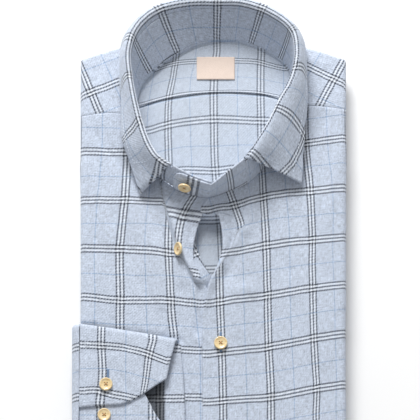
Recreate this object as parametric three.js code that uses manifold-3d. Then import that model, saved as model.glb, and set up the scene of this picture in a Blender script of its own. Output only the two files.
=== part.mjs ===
import * as THREE from 'three';
import { mergeVertices } from 'three/addons/utils/BufferGeometryUtils.js';
import Module from 'manifold-3d';

// A long-sleeved flannel shirt folded to a rectangle and laid on its back.
// Sizes in millimetres. X runs across the shirt, Y from the bottom fold to the collar, Z up.

// Folded body
const halfWidthAtMiddle = 114.6;
const halfWidthTaper = 0.0145;
const bottomFoldY = -230;
const shoulderAtCentre = 163;
const shoulderDrop = 23.5;
const stackHeight = 26;
const middleHeight = 13;
const clothThickness = 1.6;
const seamGap = 0.3;
const turnInHeight = 2.4;
const turnInLength = 8;

// Rise of the fronts towards the buttoned neck and fall of the stack towards the shoulders
const neckRise = 8;
const neckRiseCentre = [-3, 6];
const neckRiseAcross = 54;
const neckRiseBelow = 78;
const neckRiseAbove = 66;
const shoulderFall = 5;
const shoulderFallStart = 95;
const shoulderFallEnd = 165;

// Inside of the back seen through the neck
const insideHeight = 19.9;
const insideHeightUnderFronts = 22;
const insideRiseAtSides = 0.8;

// Collar, cuff, label and buttons
const bandThickness = 2;
const leafThickness = 2.2;
const cuffThickness = 2;
const labelThickness = 0.8;
const buttonRadius = 5.7;
const buttonThickness = 2.6;
const cuffButtonRadius = 5.6;
const holeDistance = 1.75;
const holeRadius = 0.75;

// Round the neck from the centre front by the wearer's left shoulder, the back and the right shoulder.
// seam is where the band is sewn to the body, roll is the crest of the collar,
// mid and edge are the leaf half way down and its free edge.
const neckStations = [
  { at: 0.0, seam: [-4.6, 11.3], roll: [-2, 15.5, 57] },
  { at: 0.05, seam: [12, 17], roll: [9.5, 24.6, 59] },
  { at: 0.09, seam: [29, 25], roll: [25.9, 38, 60] },
  { at: 0.15, seam: [44, 43], roll: [37, 53.5, 60.4] },
  { at: 0.21, seam: [54, 66], roll: [46.5, 70, 60.6] },
  { at: 0.28, seam: [62, 92], roll: [56.3, 91.4, 60.6] },
  { at: 0.34, seam: [67.5, 112], roll: [66, 111, 60.4] },
  { at: 0.39, seam: [67.5, 127.5], roll: [70, 133, 59.6] },
  { at: 0.44, seam: [58.6, 139.6], roll: [66.3, 154, 58] },
  { at: 0.5, seam: [38, 152], roll: [48, 170, 56] },
  { at: 0.55, seam: [21, 157], roll: [25, 179.5, 53] },
  { at: 0.6, seam: [2, 157.6], roll: [2.3, 181.1, 51] },
  { at: 0.65, seam: [-16, 153.5], roll: [-23, 180, 52] },
  { at: 0.7, seam: [-33, 144.3], roll: [-48, 172.5, 54.5] },
  { at: 0.75, seam: [-48, 133], roll: [-65, 156, 57] },
  { at: 0.79, seam: [-61.5, 119], roll: [-71.5, 136, 58] },
  { at: 0.83, seam: [-67, 102], roll: [-70, 114, 58.4] },
  { at: 0.87, seam: [-66.5, 83], roll: [-65.6, 90.3, 58.6] },
  { at: 0.9, seam: [-62, 64], roll: [-60, 69, 58.8] },
  { at: 0.93, seam: [-55, 45], roll: [-53, 50.5, 59] },
  { at: 0.955, seam: [-46, 29.5], roll: [-43.5, 37, 59] },
  { at: 0.97, seam: [-35.6, 20.5], roll: [-33, 28.5, 58.8] },
  { at: 0.985, seam: [-20.1, 14.6], roll: [-17.4, 20.8, 58] },
  { at: 1.0, seam: [-4.6, 11.3], roll: [-2, 15.5, 57] },
];
const leafStations = [
  { at: 0.09, mid: [48.2, 33.1, 47.5], edge: [76.3, 23.3, 33.5] },
  { at: 0.15, mid: [57.5, 50, 52], edge: [77, 43, 36] },
  { at: 0.21, mid: [64, 68, 55], edge: [79.6, 64, 38] },
  { at: 0.28, mid: [70.5, 91, 57], edge: [81.5, 87, 39] },
  { at: 0.34, mid: [75.5, 111.5, 57], edge: [81.6, 107, 36] },
  { at: 0.39, mid: [77.8, 136, 54], edge: [82, 132, 29] },
  { at: 0.44, mid: [73, 158.5, 52.5], edge: [79, 158, 20] },
  { at: 0.5, mid: [52, 177.5, 50.5], edge: [59, 181, 12] },
  { at: 0.55, mid: [27, 187.5, 47.5], edge: [30, 192, 8] },
  { at: 0.6, mid: [2, 189, 45.5], edge: [2, 193.5, 6.5] },
  { at: 0.65, mid: [-25, 188, 46.5], edge: [-28, 192, 8] },
  { at: 0.7, mid: [-52.5, 179.5, 49], edge: [-60, 181, 12] },
  { at: 0.75, mid: [-71, 161, 51.5], edge: [-79, 160, 20] },
  { at: 0.79, mid: [-78.5, 137.5, 53], edge: [-82, 134, 27] },
  { at: 0.83, mid: [-77.8, 115, 53.5], edge: [-82, 112, 32] },
  { at: 0.87, mid: [-74, 91, 53.5], edge: [-80.5, 90, 36] },
  { at: 0.9, mid: [-69.5, 68, 52.5], edge: [-79.5, 66, 37.5] },
  { at: 0.93, mid: [-64.5, 48, 50.5], edge: [-75, 50.5, 37] },
  { at: 0.955, mid: [-55, 33, 48], edge: [-69.5, 33, 34.5] },
  { at: 0.965, mid: [-49, 24.2, 45.5], edge: [-63.2, 13.8, 32.5] },
];
const leafStart = 0.09;
const leafEnd = 0.965;
const bandTopUnderLeaf = 0.84;

// Free edges of the fronts down the button line; the gap between them opens under the collar button.
const leftFrontEdge = [
  { y: 11.3, x: -4.4 },
  { y: 8.5, x: -3.4 },
  { y: 0.4, x: 2.2 },
  { y: -9, x: 5.3 },
  { y: -19, x: 7.4 },
  { y: -32.6, x: 8.2 },
  { y: -42, x: 6.5 },
  { y: -54, x: 1.4 },
  { y: -67, x: -3.8 },
  { y: -80, x: -6.3 },
  { y: -90, x: -8.8 },
  { y: -140, x: -8.9 },
  { y: -217, x: -8.6 },
];
const rightFrontEdge = [
  { y: 11.3, x: -5.4 },
  { y: 8.5, x: -5.8 },
  { y: 0.4, x: -7.6 },
  { y: -11.6, x: -12.3 },
  { y: -23, x: -15.7 },
  { y: -34.4, x: -17.4 },
  { y: -46.5, x: -16.6 },
  { y: -53.3, x: -13.2 },
  { y: -70.7, x: -4.6 },
  { y: -84, x: 12 },
  { y: -96, x: 23 },
  { y: -140, x: 24 },
  { y: -217, x: 24 },
];

// Largest folds of the fronts: crest from one point to the other, height, width on either side.
const rightFrontFolds = [
  { from: [-44, 22], to: [-37, -8], height: 2.2, left: 3, right: 14 },
  { from: [-37, -8], to: [-29, -34], height: 4.2, left: 2.6, right: 13 },
  { from: [-29, -34], to: [-15, -62], height: 4.4, left: 2.6, right: 11 },
];
const leftFrontFolds = [
  { from: [6, -2], to: [10, -34], height: 2.6, left: 10, right: 9 },
  { from: [10, -34], to: [-2, -62], height: 2.6, left: 8, right: 12 },
  { from: [26, -10], to: [14, -44], height: -2.4, left: 7, right: 7 },
];

// Cuff: folds and ends across the flattened band, from the sleeve seam to the wrist edge.
const cuffLeftX = -112.4;
const cuffAcross = [
  { f: 0, topFold: -101, bottomFold: -222, overlapEnd: -173.4, underlapEnd: -152 },
  { f: 0.35, topFold: -105, bottomFold: -223, overlapEnd: -171.2, underlapEnd: -152 },
  { f: 0.5, topFold: -107, bottomFold: -223.5, overlapEnd: -170.2, underlapEnd: -152 },
  { f: 0.7, topFold: -109.6, bottomFold: -224, overlapEnd: -163.4, underlapEnd: -160 },
  { f: 0.86, topFold: -112, bottomFold: -224.5, overlapEnd: -155.5, underlapEnd: -181 },
  { f: 1, topFold: -114, bottomFold: -225, overlapEnd: -149, underlapEnd: -195 },
];
const cuffWrist = [
  { place: 0, x: -39.7 },
  { place: 0.5, x: -36.8 },
  { place: 1, x: -33 },
  { place: 2, x: -28.4 },
  { place: 2.3, x: -25.6 },
  { place: 2.7, x: -24.2 },
  { place: 3, x: -24.4 },
  { place: 4, x: -28 },
  { place: 5, x: -37 },
];
const cuffUnderside = 27;
const cuffUnderlapTop = 33.4;
const cuffOverlapTop = 35.7;

// Sleeve end: its thickness and its two edges where it leaves the stack and where it meets the cuff
const sleeveThickAtStack = 3.6;
const sleeveThickHalfWay = 6;
const sleeveThickAtCuff = 9.8;
const sleeveTopAtStack = -98.5;
const sleeveTopAtCuff = -101;
const sleeveBottomAtStack = -213;
const sleeveBottomAtCuff = -222;
const sleeveWall = 1.2;
const sleeveStartAngle = -90;
const sleeveEndAngle = 68;

// Label sewn inside the yoke
const labelLeft = -14.4;
const labelRight = 18.6;
const labelTop = 142.4;
const labelBottom = 121.8;

const clamp = (value, low, high) => Math.min(high, Math.max(low, value));
const mix = (a, b, t) => a + (b - a) * t;
const smooth = (low, high, value) => {
  const t = clamp((value - low) / (high - low), 0, 1);
  return t * t * (3 - 2 * t);
};
const halfWidth = (y) => halfWidthAtMiddle + halfWidthTaper * y;
const shoulderY = (x) => shoulderAtCentre - shoulderDrop * (x / 117) ** 2;

// Smooth reading of a table at a value of its key column.
function readTable(table, key, column, value) {
  const rising = table[table.length - 1][key] > table[0][key];
  const sign = rising ? 1 : -1;
  let row = 0;
  while (row < table.length - 2 && sign * table[row + 1][key] <= sign * value) {
    row += 1;
  }
  const before = table[Math.max(0, row - 1)];
  const a = table[row];
  const b = table[row + 1];
  const after = table[Math.min(table.length - 1, row + 2)];
  const t = clamp((value - a[key]) / (b[key] - a[key]), 0, 1);
  const read = (p, q, r, s) => {
    const slopeIn = ((r - p) / (b[key] - before[key])) * (b[key] - a[key]);
    const slopeOut = ((s - q) / (after[key] - a[key])) * (b[key] - a[key]);
    const t2 = t * t;
    const t3 = t2 * t;
    return (2 * t3 - 3 * t2 + 1) * q + (t3 - 2 * t2 + t) * slopeIn
      + (3 * t2 - 2 * t3) * r + (t3 - t2) * slopeOut;
  };
  if (typeof a[column] === 'number') {
    return read(before[column], a[column], b[column], after[column]);
  }
  return a[column].map((_, i) => read(before[column][i], a[column][i], b[column][i], after[column][i]));
}

// Height of a fold at a plan point.
function foldHeight(fold, x, y) {
  const alongX = fold.to[0] - fold.from[0];
  const alongY = fold.to[1] - fold.from[1];
  const length = Math.hypot(alongX, alongY);
  const t = clamp(((x - fold.from[0]) * alongX + (y - fold.from[1]) * alongY) / length ** 2, 0, 1);
  const nearX = fold.from[0] + alongX * t;
  const nearY = fold.from[1] + alongY * t;
  const distance = Math.hypot(x - nearX, y - nearY);
  const side = (x - nearX) * alongY - (y - nearY) * alongX;
  const width = side < 0 ? fold.right : fold.left;
  return fold.height * (1 - smooth(0, width, distance));
}

// Outer surface of the folded stack, without the folds of the single fronts.
function stackTop(x, y) {
  const acrossNeck = Math.exp(-(((x - neckRiseCentre[0]) / neckRiseAcross) ** 2));
  const reach = y < neckRiseCentre[1] ? neckRiseBelow : neckRiseAbove;
  const alongNeck = Math.exp(-(((y - neckRiseCentre[1]) / reach) ** 2));
  const fall = shoulderFall * smooth(shoulderFallStart, shoulderFallEnd, y);
  return stackHeight + neckRise * acrossNeck * alongNeck - fall;
}

// The highest of the folds that reach a point counts, so that joined folds don't pile up.
function foldsAt(folds, x, y) {
  let up = 0;
  let down = 0;
  folds.forEach((fold) => {
    const height = foldHeight(fold, x, y);
    up = Math.max(up, height);
    down = Math.min(down, height);
  });
  return up + down;
}

const rightFrontTop = (x, y) => stackTop(x, y) + foldsAt(rightFrontFolds, x, y);
const leftFrontTop = (x, y) => {
  const overlap = (clothThickness + seamGap) * (1 - smooth(26, 44, x)) * (1 - smooth(-72, -58, y));
  const own = foldsAt(leftFrontFolds, x, y);
  const under = foldsAt(rightFrontFolds, x, y) * (1 - smooth(-66, -60, y));
  return stackTop(x, y) + overlap + Math.max(own, under);
};

// Inner face of the back, seen through the neck and the gap of the fronts.
function insideTop(x, y) {
  const underFronts = smooth(70, -50, y);
  const sides = insideRiseAtSides * smooth(20, 78, Math.abs(x));
  return mix(insideHeight, insideHeightUnderFronts, underFronts) + sides * (1 - underFronts);
}

// A cloth wall: its face as a grid of points, its other face one thickness behind.
function wall(face, thickness) {
  const rows = face.length;
  const columns = face[0].length;
  const at = (i, j) => face[clamp(i, 0, rows - 1)][clamp(j, 0, columns - 1)];
  const positions = [];
  const back = [];
  for (let i = 0; i < rows; i += 1) {
    for (let j = 0; j < columns; j += 1) {
      const down = new THREE.Vector3().subVectors(at(i + 1, j), at(i - 1, j));
      const across = new THREE.Vector3().subVectors(at(i, j + 1), at(i, j - 1));
      const normal = new THREE.Vector3().crossVectors(down, across).normalize();
      positions.push(...at(i, j).toArray());
      back.push(...at(i, j).clone().addScaledVector(normal, -thickness).toArray());
    }
  }
  const offset = rows * columns;
  const index = [];
  const id = (i, j) => i * columns + j;
  const quad = (a, b, c, d) => index.push(a, b, c, a, c, d);
  for (let i = 0; i < rows - 1; i += 1) {
    for (let j = 0; j < columns - 1; j += 1) {
      quad(id(i, j), id(i + 1, j), id(i + 1, j + 1), id(i, j + 1));
      quad(offset + id(i, j), offset + id(i, j + 1), offset + id(i + 1, j + 1), offset + id(i + 1, j));
    }
  }
  for (let i = 0; i < rows - 1; i += 1) {
    quad(id(i, 0), offset + id(i, 0), offset + id(i + 1, 0), id(i + 1, 0));
    const last = columns - 1;
    quad(id(i, last), id(i + 1, last), offset + id(i + 1, last), offset + id(i, last));
  }
  for (let j = 0; j < columns - 1; j += 1) {
    quad(id(0, j), id(0, j + 1), offset + id(0, j + 1), offset + id(0, j));
    const last = rows - 1;
    quad(id(last, j), offset + id(last, j), offset + id(last, j + 1), id(last, j + 1));
  }
  const geometry = new THREE.BufferGeometry();
  geometry.setAttribute('position', new THREE.Float32BufferAttribute([...positions, ...back], 3));
  geometry.setIndex(index);
  return geometry;
}

// Points of a surface from two parameters, each running over its own list.
function surface(rowValues, columnValues, point) {
  return rowValues.map((r) => columnValues.map((c) => point(r, c)));
}
const steps = (from, to, count) => Array.from({ length: count + 1 }, (_, i) => mix(from, to, i / count));
const vector = (x, y, z) => new THREE.Vector3(x, y, z);

// Side fold: a place on the cloth beyond the flat part goes round the fold and back under it.
function aroundSide(side, beyond, flatHalf, topHeight) {
  const radius = (topHeight - middleHeight - turnInHeight) / 2;
  const turn = clamp(beyond / radius, 0, Math.PI);
  const tucked = Math.max(0, beyond - radius * Math.PI);
  return {
    x: side * (flatHalf + radius * Math.sin(turn) - tucked),
    height: topHeight - radius * (1 - Math.cos(turn)),
  };
}

// Bottom fold: below the fold line the section turns under the stack and comes back on its other face.
const foldRadius = stackHeight - middleHeight;
const foldLineY = bottomFoldY + foldRadius;
function aroundBottom(x, along, height) {
  const lift = height - middleHeight;
  if (along >= foldLineY) {
    return vector(x, along, height);
  }
  const turn = Math.min(Math.PI, (foldLineY - along) / foldRadius);
  const tail = Math.max(0, foldLineY - along - foldRadius * Math.PI);
  return vector(x, foldLineY + tail - lift * Math.sin(turn), middleHeight + lift * Math.cos(turn));
}
const foldLength = foldRadius * Math.PI;
const hemY = 125;
const hemCurve = 14;
const hemAlong = (x) => foldLineY - foldLength - (hemY - foldLineY) + hemCurve * (x / 117) ** 2;

const yokeSeam = {
  right: { neck: [-66.6, 85], side: 86.5, bow: 3 },
  left: { neck: [62.2, 95.5], side: 93, bow: 1.6 },
};
// Where the yoke's lines from the neck reach the shoulder end.
const yokeEnds = [
  { at: 0.294, x: 91 },
  { at: 0.34, x: 88 },
  { at: 0.39, x: 83 },
  { at: 0.44, x: 72 },
  { at: 0.5, x: 48 },
  { at: 0.55, x: 26 },
  { at: 0.6, x: 2 },
  { at: 0.65, x: -21 },
  { at: 0.7, x: -42 },
  { at: 0.75, x: -61 },
  { at: 0.79, x: -77 },
  { at: 0.83, x: -85 },
  { at: 0.8615, x: -90 },
];
const neckAtRightYoke = 0.8655;
const neckAtLeftYoke = 0.288;

// Under the stack the left front lies flat on the table and the right front's edge lies over it.
const overlapLift = clothThickness + seamGap;
function foldedUnderTop(side, x, along) {
  const turned = smooth(0, 14, foldLineY - along);
  if (side > 0) {
    return stackHeight + overlapLift * (1 - smooth(26, 44, x)) * (1 - turned);
  }
  return stackHeight - overlapLift * smooth(-24, -10, x) * turned;
}

// One front, from the yoke seam over the bottom fold to the hem under the stack.
function front(side) {
  const isLeft = side > 0;
  const edge = isLeft ? leftFrontEdge : rightFrontEdge;
  const top = isLeft ? leftFrontTop : rightFrontTop;
  const seam = isLeft ? yokeSeam.left : yokeSeam.right;
  const neckStart = isLeft ? neckAtLeftYoke : neckAtRightYoke;
  const neckEnd = isLeft ? 0 : 1;
  const neckRows = steps(0, 1, 9).map((t) => {
    const inner = readTable(neckStations, 'at', 'seam', mix(neckStart, neckEnd, t));
    return { inner, outerY: mix(seam.side, 6, t), bow: seam.bow * (1 - t) };
  });
  const edgeYs = [4, -3, -11, -20, -29, -38, -47, -55, -63, -71, -80, -96, -125, -165, -200, foldLineY];
  const edgeRows = edgeYs.map((y) => ({ inner: [readTable(edge, 'y', 'x', y), y], outerY: y, bow: 0 }));
  const lowerX = edge[edge.length - 1].x;
  const foldRows = steps(0, 1, 7).slice(1).map((t) => {
    const along = foldLineY - foldLength * t;
    return { inner: [lowerX, along], outerY: along, bow: 0 };
  });
  const tailRows = steps(0, 1, 5).slice(1).map((t) => ({ inner: [lowerX, t], tail: t, bow: 0 }));
  const rows = [...neckRows, ...edgeRows, ...foldRows, ...tailRows];
  const flat = [0, 0.06, 0.13, 0.21, 0.3, 0.4, 0.52, 0.66, 0.82, 1];
  const round = steps(0, 1, 6).slice(1);
  const radiusAt = (height) => (height - middleHeight - turnInHeight) / 2;
  const face = rows.map((row) => {
    const endAlong = foldLineY - foldLength;
    const rowAlong = row.tail === undefined ? row.outerY : endAlong;
    const past = row.tail === undefined ? 0 : row.tail * (hemY - foldLineY);
    const width = halfWidth(Math.max(rowAlong, foldLineY + past));
    const sideHeight = stackTop(side * width, Math.max(rowAlong, foldLineY));
    const flatHalf = width - radiusAt(sideHeight);
    const place = (x, beyond) => {
      const t = (x - row.inner[0]) / (side * flatHalf - row.inner[0]);
      let along = mix(row.inner[1], row.outerY, t) + row.bow * 4 * t * (1 - t);
      if (row.tail !== undefined) {
        along = mix(endAlong, hemAlong(x), row.tail);
      }
      const height = along > foldLineY ? top(x, along) : foldedUnderTop(side, x, along);
      if (beyond <= 0) {
        return aroundBottom(x, along, height);
      }
      const turned = aroundSide(side, beyond, flatHalf, height);
      return aroundBottom(turned.x, along, turned.height);
    };
    const line = flat.map((f) => place(mix(row.inner[0], side * flatHalf, f), 0));
    const radius = radiusAt(sideHeight);
    round.forEach((t) => line.push(place(side * flatHalf, radius * Math.PI * t)));
    line.push(place(side * flatHalf, radius * Math.PI + turnInLength));
    return line;
  });
  return wall(isLeft ? face : face.map((line) => [...line].reverse()), clothThickness);
}

// The yoke over both shoulders: from the neck and the front seams round the end of the stack.
const yokeRoundTurns = [0.2, 0.42, 0.64, 0.84].map((part) => part * Math.PI);
function yoke() {
  const flatHalfAt = (y) => halfWidth(y) - (stackTop(115, y) - middleHeight - turnInHeight) / 2;
  const rightSeamY = (t) => mix(yokeSeam.right.side, 85.2, t) + yokeSeam.right.bow * 4 * t * (1 - t);
  const leftSeamY = (t) => mix(95.6, yokeSeam.left.side, t) + yokeSeam.left.bow * 4 * t * (1 - t);
  const columns = [];
  yokeRoundTurns.slice().reverse().forEach((turn) => {
    columns.push({ start: [-110, rightSeamY(0) + seamGap], endX: -110, turn, side: -1 });
  });
  steps(0, 0.9, 4).forEach((t) => {
    const x = mix(-110, -66, t);
    const side = t ? 0 : -1;
    columns.push({ start: [x, rightSeamY(t) + seamGap], endX: mix(-110, -92, t), turn: 0, side });
  });
  steps(0.8615, 0.294, 22).forEach((at) => {
    const endX = readTable(yokeEnds, 'at', 'x', at);
    columns.push({ start: readTable(neckStations, 'at', 'seam', at), endX, turn: 0, side: 0 });
  });
  steps(0.1, 1, 4).forEach((t) => {
    const x = mix(62.5, 110, t);
    const side = t === 1 ? 1 : 0;
    columns.push({ start: [x, leftSeamY(t) + seamGap], endX: mix(92, 110, t), turn: 0, side });
  });
  yokeRoundTurns.forEach((turn) => {
    columns.push({ start: [110, leftSeamY(1) + seamGap], endX: 110, turn, side: 1 });
  });
  const rows = [0, 0.15, 0.32, 0.52, 0.75, 1].map((t) => ({ t, turn: 0 }));
  yokeRoundTurns.forEach((turn) => rows.push({ t: 1, turn }));
  const face = surface(rows, columns, (row, column) => {
    const endX = column.side ? column.side * flatHalfAt(140) : column.endX;
    const endRadius = (stackTop(endX, shoulderY(endX) - 4) - middleHeight - turnInHeight) / 2;
    const flatEnd = shoulderY(endX) - endRadius;
    const y = mix(column.start[1], flatEnd, row.t);
    const x = column.side ? column.side * flatHalfAt(y) : mix(column.start[0], column.endX, row.t);
    const height = stackTop(x, y);
    const radius = (height - middleHeight - turnInHeight) / 2;
    const turn = Math.max(row.turn, column.turn);
    const heading = Math.atan2(row.turn, column.turn);
    const out = turn > 0 ? radius * Math.sin(turn) : 0;
    return vector(
      x + (column.side || 0) * out * Math.cos(heading),
      y + (row.turn > 0 ? out * Math.sin(heading) : 0),
      height - radius * (1 - Math.cos(turn)),
    );
  });
  return wall([...face].reverse(), clothThickness);
}

// Inner yoke and inner back, under the neck and the gap.
const yokeInsideSeam = [
  { x: -80, y: 91 },
  { x: -63, y: 97 },
  { x: -40.6, y: 104 },
  { x: 1.5, y: 109.8 },
  { x: 41.8, y: 108 },
  { x: 58, y: 104 },
  { x: 80, y: 98 },
];
function yokeInside() {
  const columns = steps(0.83, 0.335, 22).map((at, i) => {
    const seam = readTable(neckStations, 'at', 'seam', at);
    const middle = [0, 122];
    const length = Math.hypot(seam[0] - middle[0], seam[1] - middle[1]);
    const pull = (length - 1.2) / length;
    return { end: [mix(middle[0], seam[0], pull), mix(middle[1], seam[1], pull)], x: mix(-66, 66, i / 22) };
  });
  const face = surface([0, 0.2, 0.4, 0.6, 0.8, 1], columns, (t, column) => {
    const x = mix(column.x, column.end[0], t);
    const y = mix(readTable(yokeInsideSeam, 'x', 'y', column.x) + seamGap, column.end[1], t);
    return vector(x, y, Math.min(insideTop(x, y), stackTop(x, y) - 0.6));
  });
  return wall([...face].reverse(), clothThickness);
}
function backInside() {
  const face = surface(steps(0, 1, 16), steps(-76, 76, 12), (t, x) => {
    const top = readTable(yokeInsideSeam, 'x', 'y', x);
    const y = mix(top, -98, t);
    return vector(x, y, insideTop(x, y));
  });
  return wall(face, clothThickness);
}

// Hidden layers: one solid with an upper and a lower roll, joined between them.
const coreColumns = 16;
const coreSideRound = 5.3;
const coreRounds = [0.25, 0.5, 0.75];
function tubeOfSections(loops) {
  const positions = [];
  const index = [];
  const count = loops[0].length;
  loops.forEach((loop) => loop.forEach((p) => positions.push(p.x, p.y, p.z)));
  for (let i = 0; i < loops.length - 1; i += 1) {
    for (let j = 0; j < count; j += 1) {
      const next = (j + 1) % count;
      const a = i * count + j;
      const b = i * count + next;
      index.push(a, a + count, b + count, a, b + count, b);
    }
  }
  const rounds = coreRounds.length;
  const cap = (base, flip) => {
    const face = (a, b, c) => index.push(base + a, base + (flip ? c : b), base + (flip ? b : c));
    const under = coreColumns + 1 + rounds;
    for (let j = 0; j < coreColumns; j += 1) {
      const low = under + coreColumns - j;
      face(j, j + 1, low - 1);
      face(j, low - 1, low);
    }
    for (let k = 0; k <= rounds - 1; k += 1) {
      face(coreColumns, coreColumns + k + 1, coreColumns + k + 2);
    }
    const left = under + coreColumns;
    for (let k = 0; k <= rounds - 1; k += 1) {
      face(left, left + k + 1, (left + k + 2) % count);
    }
  };
  cap(0, false);
  cap((loops.length - 1) * count, true);
  const geometry = new THREE.BufferGeometry();
  geometry.setAttribute('position', new THREE.Float32BufferAttribute(positions, 3));
  geometry.setIndex(index);
  return geometry;
}

const wallAllowance = clothThickness + seamGap;
function coreTop(x, y) {
  const outer = stackTop(x, y) - wallAllowance;
  const overNeck = smooth(-113, -101, y) * (1 - smooth(84, 92, Math.abs(x)));
  const inner = insideTop(x, y) - wallAllowance - 0.1;
  return Math.min(outer, mix(outer, inner, overNeck));
}
function coreRolls() {
  const rows = steps(0, 1, 12).map((end) => ({ end }));
  const sectionYs = [38, 16, -6, -28, -50, -75, -101, -105, -113, -130, -160, -190, foldLineY];
  sectionYs.forEach((along) => rows.push({ along }));
  steps(0, 1, 7).slice(1).forEach((t) => rows.push({ along: foldLineY - foldLength * t }));
  steps(0, 1, 4).slice(1).forEach((tail) => rows.push({ tail }));
  const under = turnInHeight + wallAllowance;
  const loops = rows.map((row) => {
    const alongAt = (x) => {
      if (row.end !== undefined) {
        return mix(shoulderY(x) - 3.4, 60, row.end);
      }
      return row.along === undefined ? foldLineY - foldLength : row.along;
    };
    const level = (x) => {
      const along = alongAt(x);
      if (along >= foldLineY) {
        return coreTop(x, along) - middleHeight;
      }
      const tucked = overlapLift * (1 - smooth(26, 40, Math.abs(x))) * smooth(0, 14, foldLineY - along);
      return stackHeight - middleHeight - wallAllowance - tucked;
    };
    const place = (x, lift) => {
      const point = aroundBottom(x, alongAt(x), middleHeight + lift);
      if (row.tail !== undefined) {
        point.y = mix(foldLineY, shoulderY(x) - 5, row.tail);
      }
      return point;
    };
    const past = row.tail === undefined ? 0 : row.tail * (hemY - foldLineY);
    const width = halfWidth(Math.max(alongAt(halfWidthAtMiddle), foldLineY + past));
    const edgeLevel = level(width);
    const radius = (edgeLevel - under) / 2;
    const flat = width - coreSideRound;
    const section = steps(-1, 1, coreColumns).map((f) => place(f * flat, level(f * flat)));
    const side = (sign, part) => {
      const turn = part * Math.PI;
      const lift = edgeLevel - radius * (1 - Math.cos(turn));
      return place(sign * (flat + radius * Math.sin(turn)), lift);
    };
    coreRounds.forEach((part) => section.push(side(1, part)));
    steps(1, -1, coreColumns).forEach((f) => section.push(place(f * flat, under)));
    [...coreRounds].reverse().forEach((part) => section.push(side(-1, part)));
    return section;
  });
  return tubeOfSections(loops);
}

// A flat layer inside the stack, its outline inset from the stack's own.
function coreLayer(low, high, inset, endInset, sleeveInset) {
  const shape = new THREE.Shape();
  const outline = [];
  const sideX = (y) => halfWidth(y) - inset;
  outline.push([sideX(foldLineY), foldLineY + 1]);
  steps(-1, 1, 16).reverse().forEach((f) => {
    const x = -f * (sideX(130));
    outline.push([-x, shoulderY(x) - endInset]);
  });
  if (sleeveInset > inset) {
    outline.push([-sideX(-94), -94]);
    outline.push([-(halfWidth(-96) - sleeveInset), -96]);
    outline.push([-(halfWidth(foldLineY) - sleeveInset), foldLineY + 1]);
  } else {
    outline.push([-sideX(foldLineY), foldLineY + 1]);
  }
  outline.forEach(([x, y], i) => (i ? shape.lineTo(x, y) : shape.moveTo(x, y)));
  const geometry = new THREE.ExtrudeGeometry(shape, { depth: high - low, bevelEnabled: false });
  geometry.translate(0, 0, low);
  return geometry;
}

const solids = await Module();
solids.setup();
function toSolid(geometry) {
  const plain = new THREE.BufferGeometry();
  plain.setAttribute('position', geometry.getAttribute('position'));
  if (geometry.index) {
    plain.setIndex(geometry.index);
  }
  const merged = mergeVertices(plain, 1e-4);
  const mesh = new solids.Mesh({
    numProp: 3,
    vertProperties: new Float32Array(merged.getAttribute('position').array),
    triVerts: new Uint32Array(merged.index.array),
  });
  return new solids.Manifold(mesh);
}
function toGeometry(solid) {
  const mesh = solid.getMesh();
  const geometry = new THREE.BufferGeometry();
  geometry.setAttribute('position', new THREE.BufferAttribute(new Float32Array(mesh.vertProperties), 3));
  geometry.setIndex(new THREE.BufferAttribute(new Uint32Array(mesh.triVerts), 1));
  return geometry;
}
function foldedCore() {
  const rolls = toSolid(coreRolls());
  const joined = rolls.add(toSolid(coreLayer(8.4, 17.6, 15, 15, 0)));
  return toGeometry(joined.add(toSolid(coreLayer(11.2, 14.8, 4.4, 5, 16))));
}

// Collar band: one strip, its left end buttoned over the right one.
const bandOverEnd = -0.029;
function neckPoint(at) {
  const place = at < 0 ? at + 1 : at;
  const seam = readTable(neckStations, 'at', 'seam', place);
  const roll = readTable(neckStations, 'at', 'roll', place);
  return { seam, roll };
}
function neckOutward(at) {
  const before = neckPoint(at - 0.006).seam;
  const after = neckPoint(Math.min(1, at + 0.006)).seam;
  const length = Math.hypot(after[0] - before[0], after[1] - before[1]);
  return [(after[1] - before[1]) / length, -(after[0] - before[0]) / length];
}
function seamHeight(at) {
  const { seam } = neckPoint(at);
  const out = neckOutward(at);
  let height = 0;
  [-1, 0.5, 2, 3.5].forEach((far) => {
    const x = seam[0] + out[0] * far;
    const y = seam[1] + out[1] * far;
    height = Math.max(height, rightFrontTop(x, y), leftFrontTop(x, y));
  });
  const { roll } = neckPoint(at);
  const away = (roll[0] - seam[0]) * out[0] + (roll[1] - seam[1]) * out[1];
  const lean = Math.max(0, away) / Math.hypot(away, roll[2] - height);
  return height + 0.65 + bandThickness * lean;
}
function bandPoint(at, h) {
  const { seam, roll } = neckPoint(at);
  const out = neckOutward(at);
  const inward = (bandThickness + seamGap) * smooth(0.945, 0.968, at);
  const belly = 1.2 * Math.sin(Math.PI * h);
  const shift = belly - inward;
  return vector(
    mix(seam[0], roll[0], h) + out[0] * shift,
    mix(seam[1], roll[1], h) + out[1] * shift,
    mix(seamHeight(at), roll[2], h),
  );
}
function collarBand() {
  const ats = [bandOverEnd, bandOverEnd + 0.004, -0.02, -0.01, 0, 0.02, 0.04, 0.06];
  [leafStart - 0.0105, leafStart - 0.0035].forEach((at) => ats.push(at));
  steps(0.1, 0.955, 40).forEach((at) => ats.push(at));
  [leafEnd + 0.0025, leafEnd + 0.0085, 0.98, 0.99, 1].forEach((at) => ats.push(at));
  const face = surface(ats, [0, 0.2, 0.4, 0.6, 0.8, 1], (at, h) => {
    const afterStart = smooth(leafStart - 0.01, leafStart - 0.004, at);
    const leaf = afterStart * (1 - smooth(leafEnd + 0.003, leafEnd + 0.008, at));
    const rounding = at < bandOverEnd + 0.002 ? 0.16 : 0;
    const top = mix(1 - rounding, bandTopUnderLeaf, leaf);
    return bandPoint(at, mix(rounding, top, h));
  });
  return wall(face.map((line) => [...line].reverse()), bandThickness);
}
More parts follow.
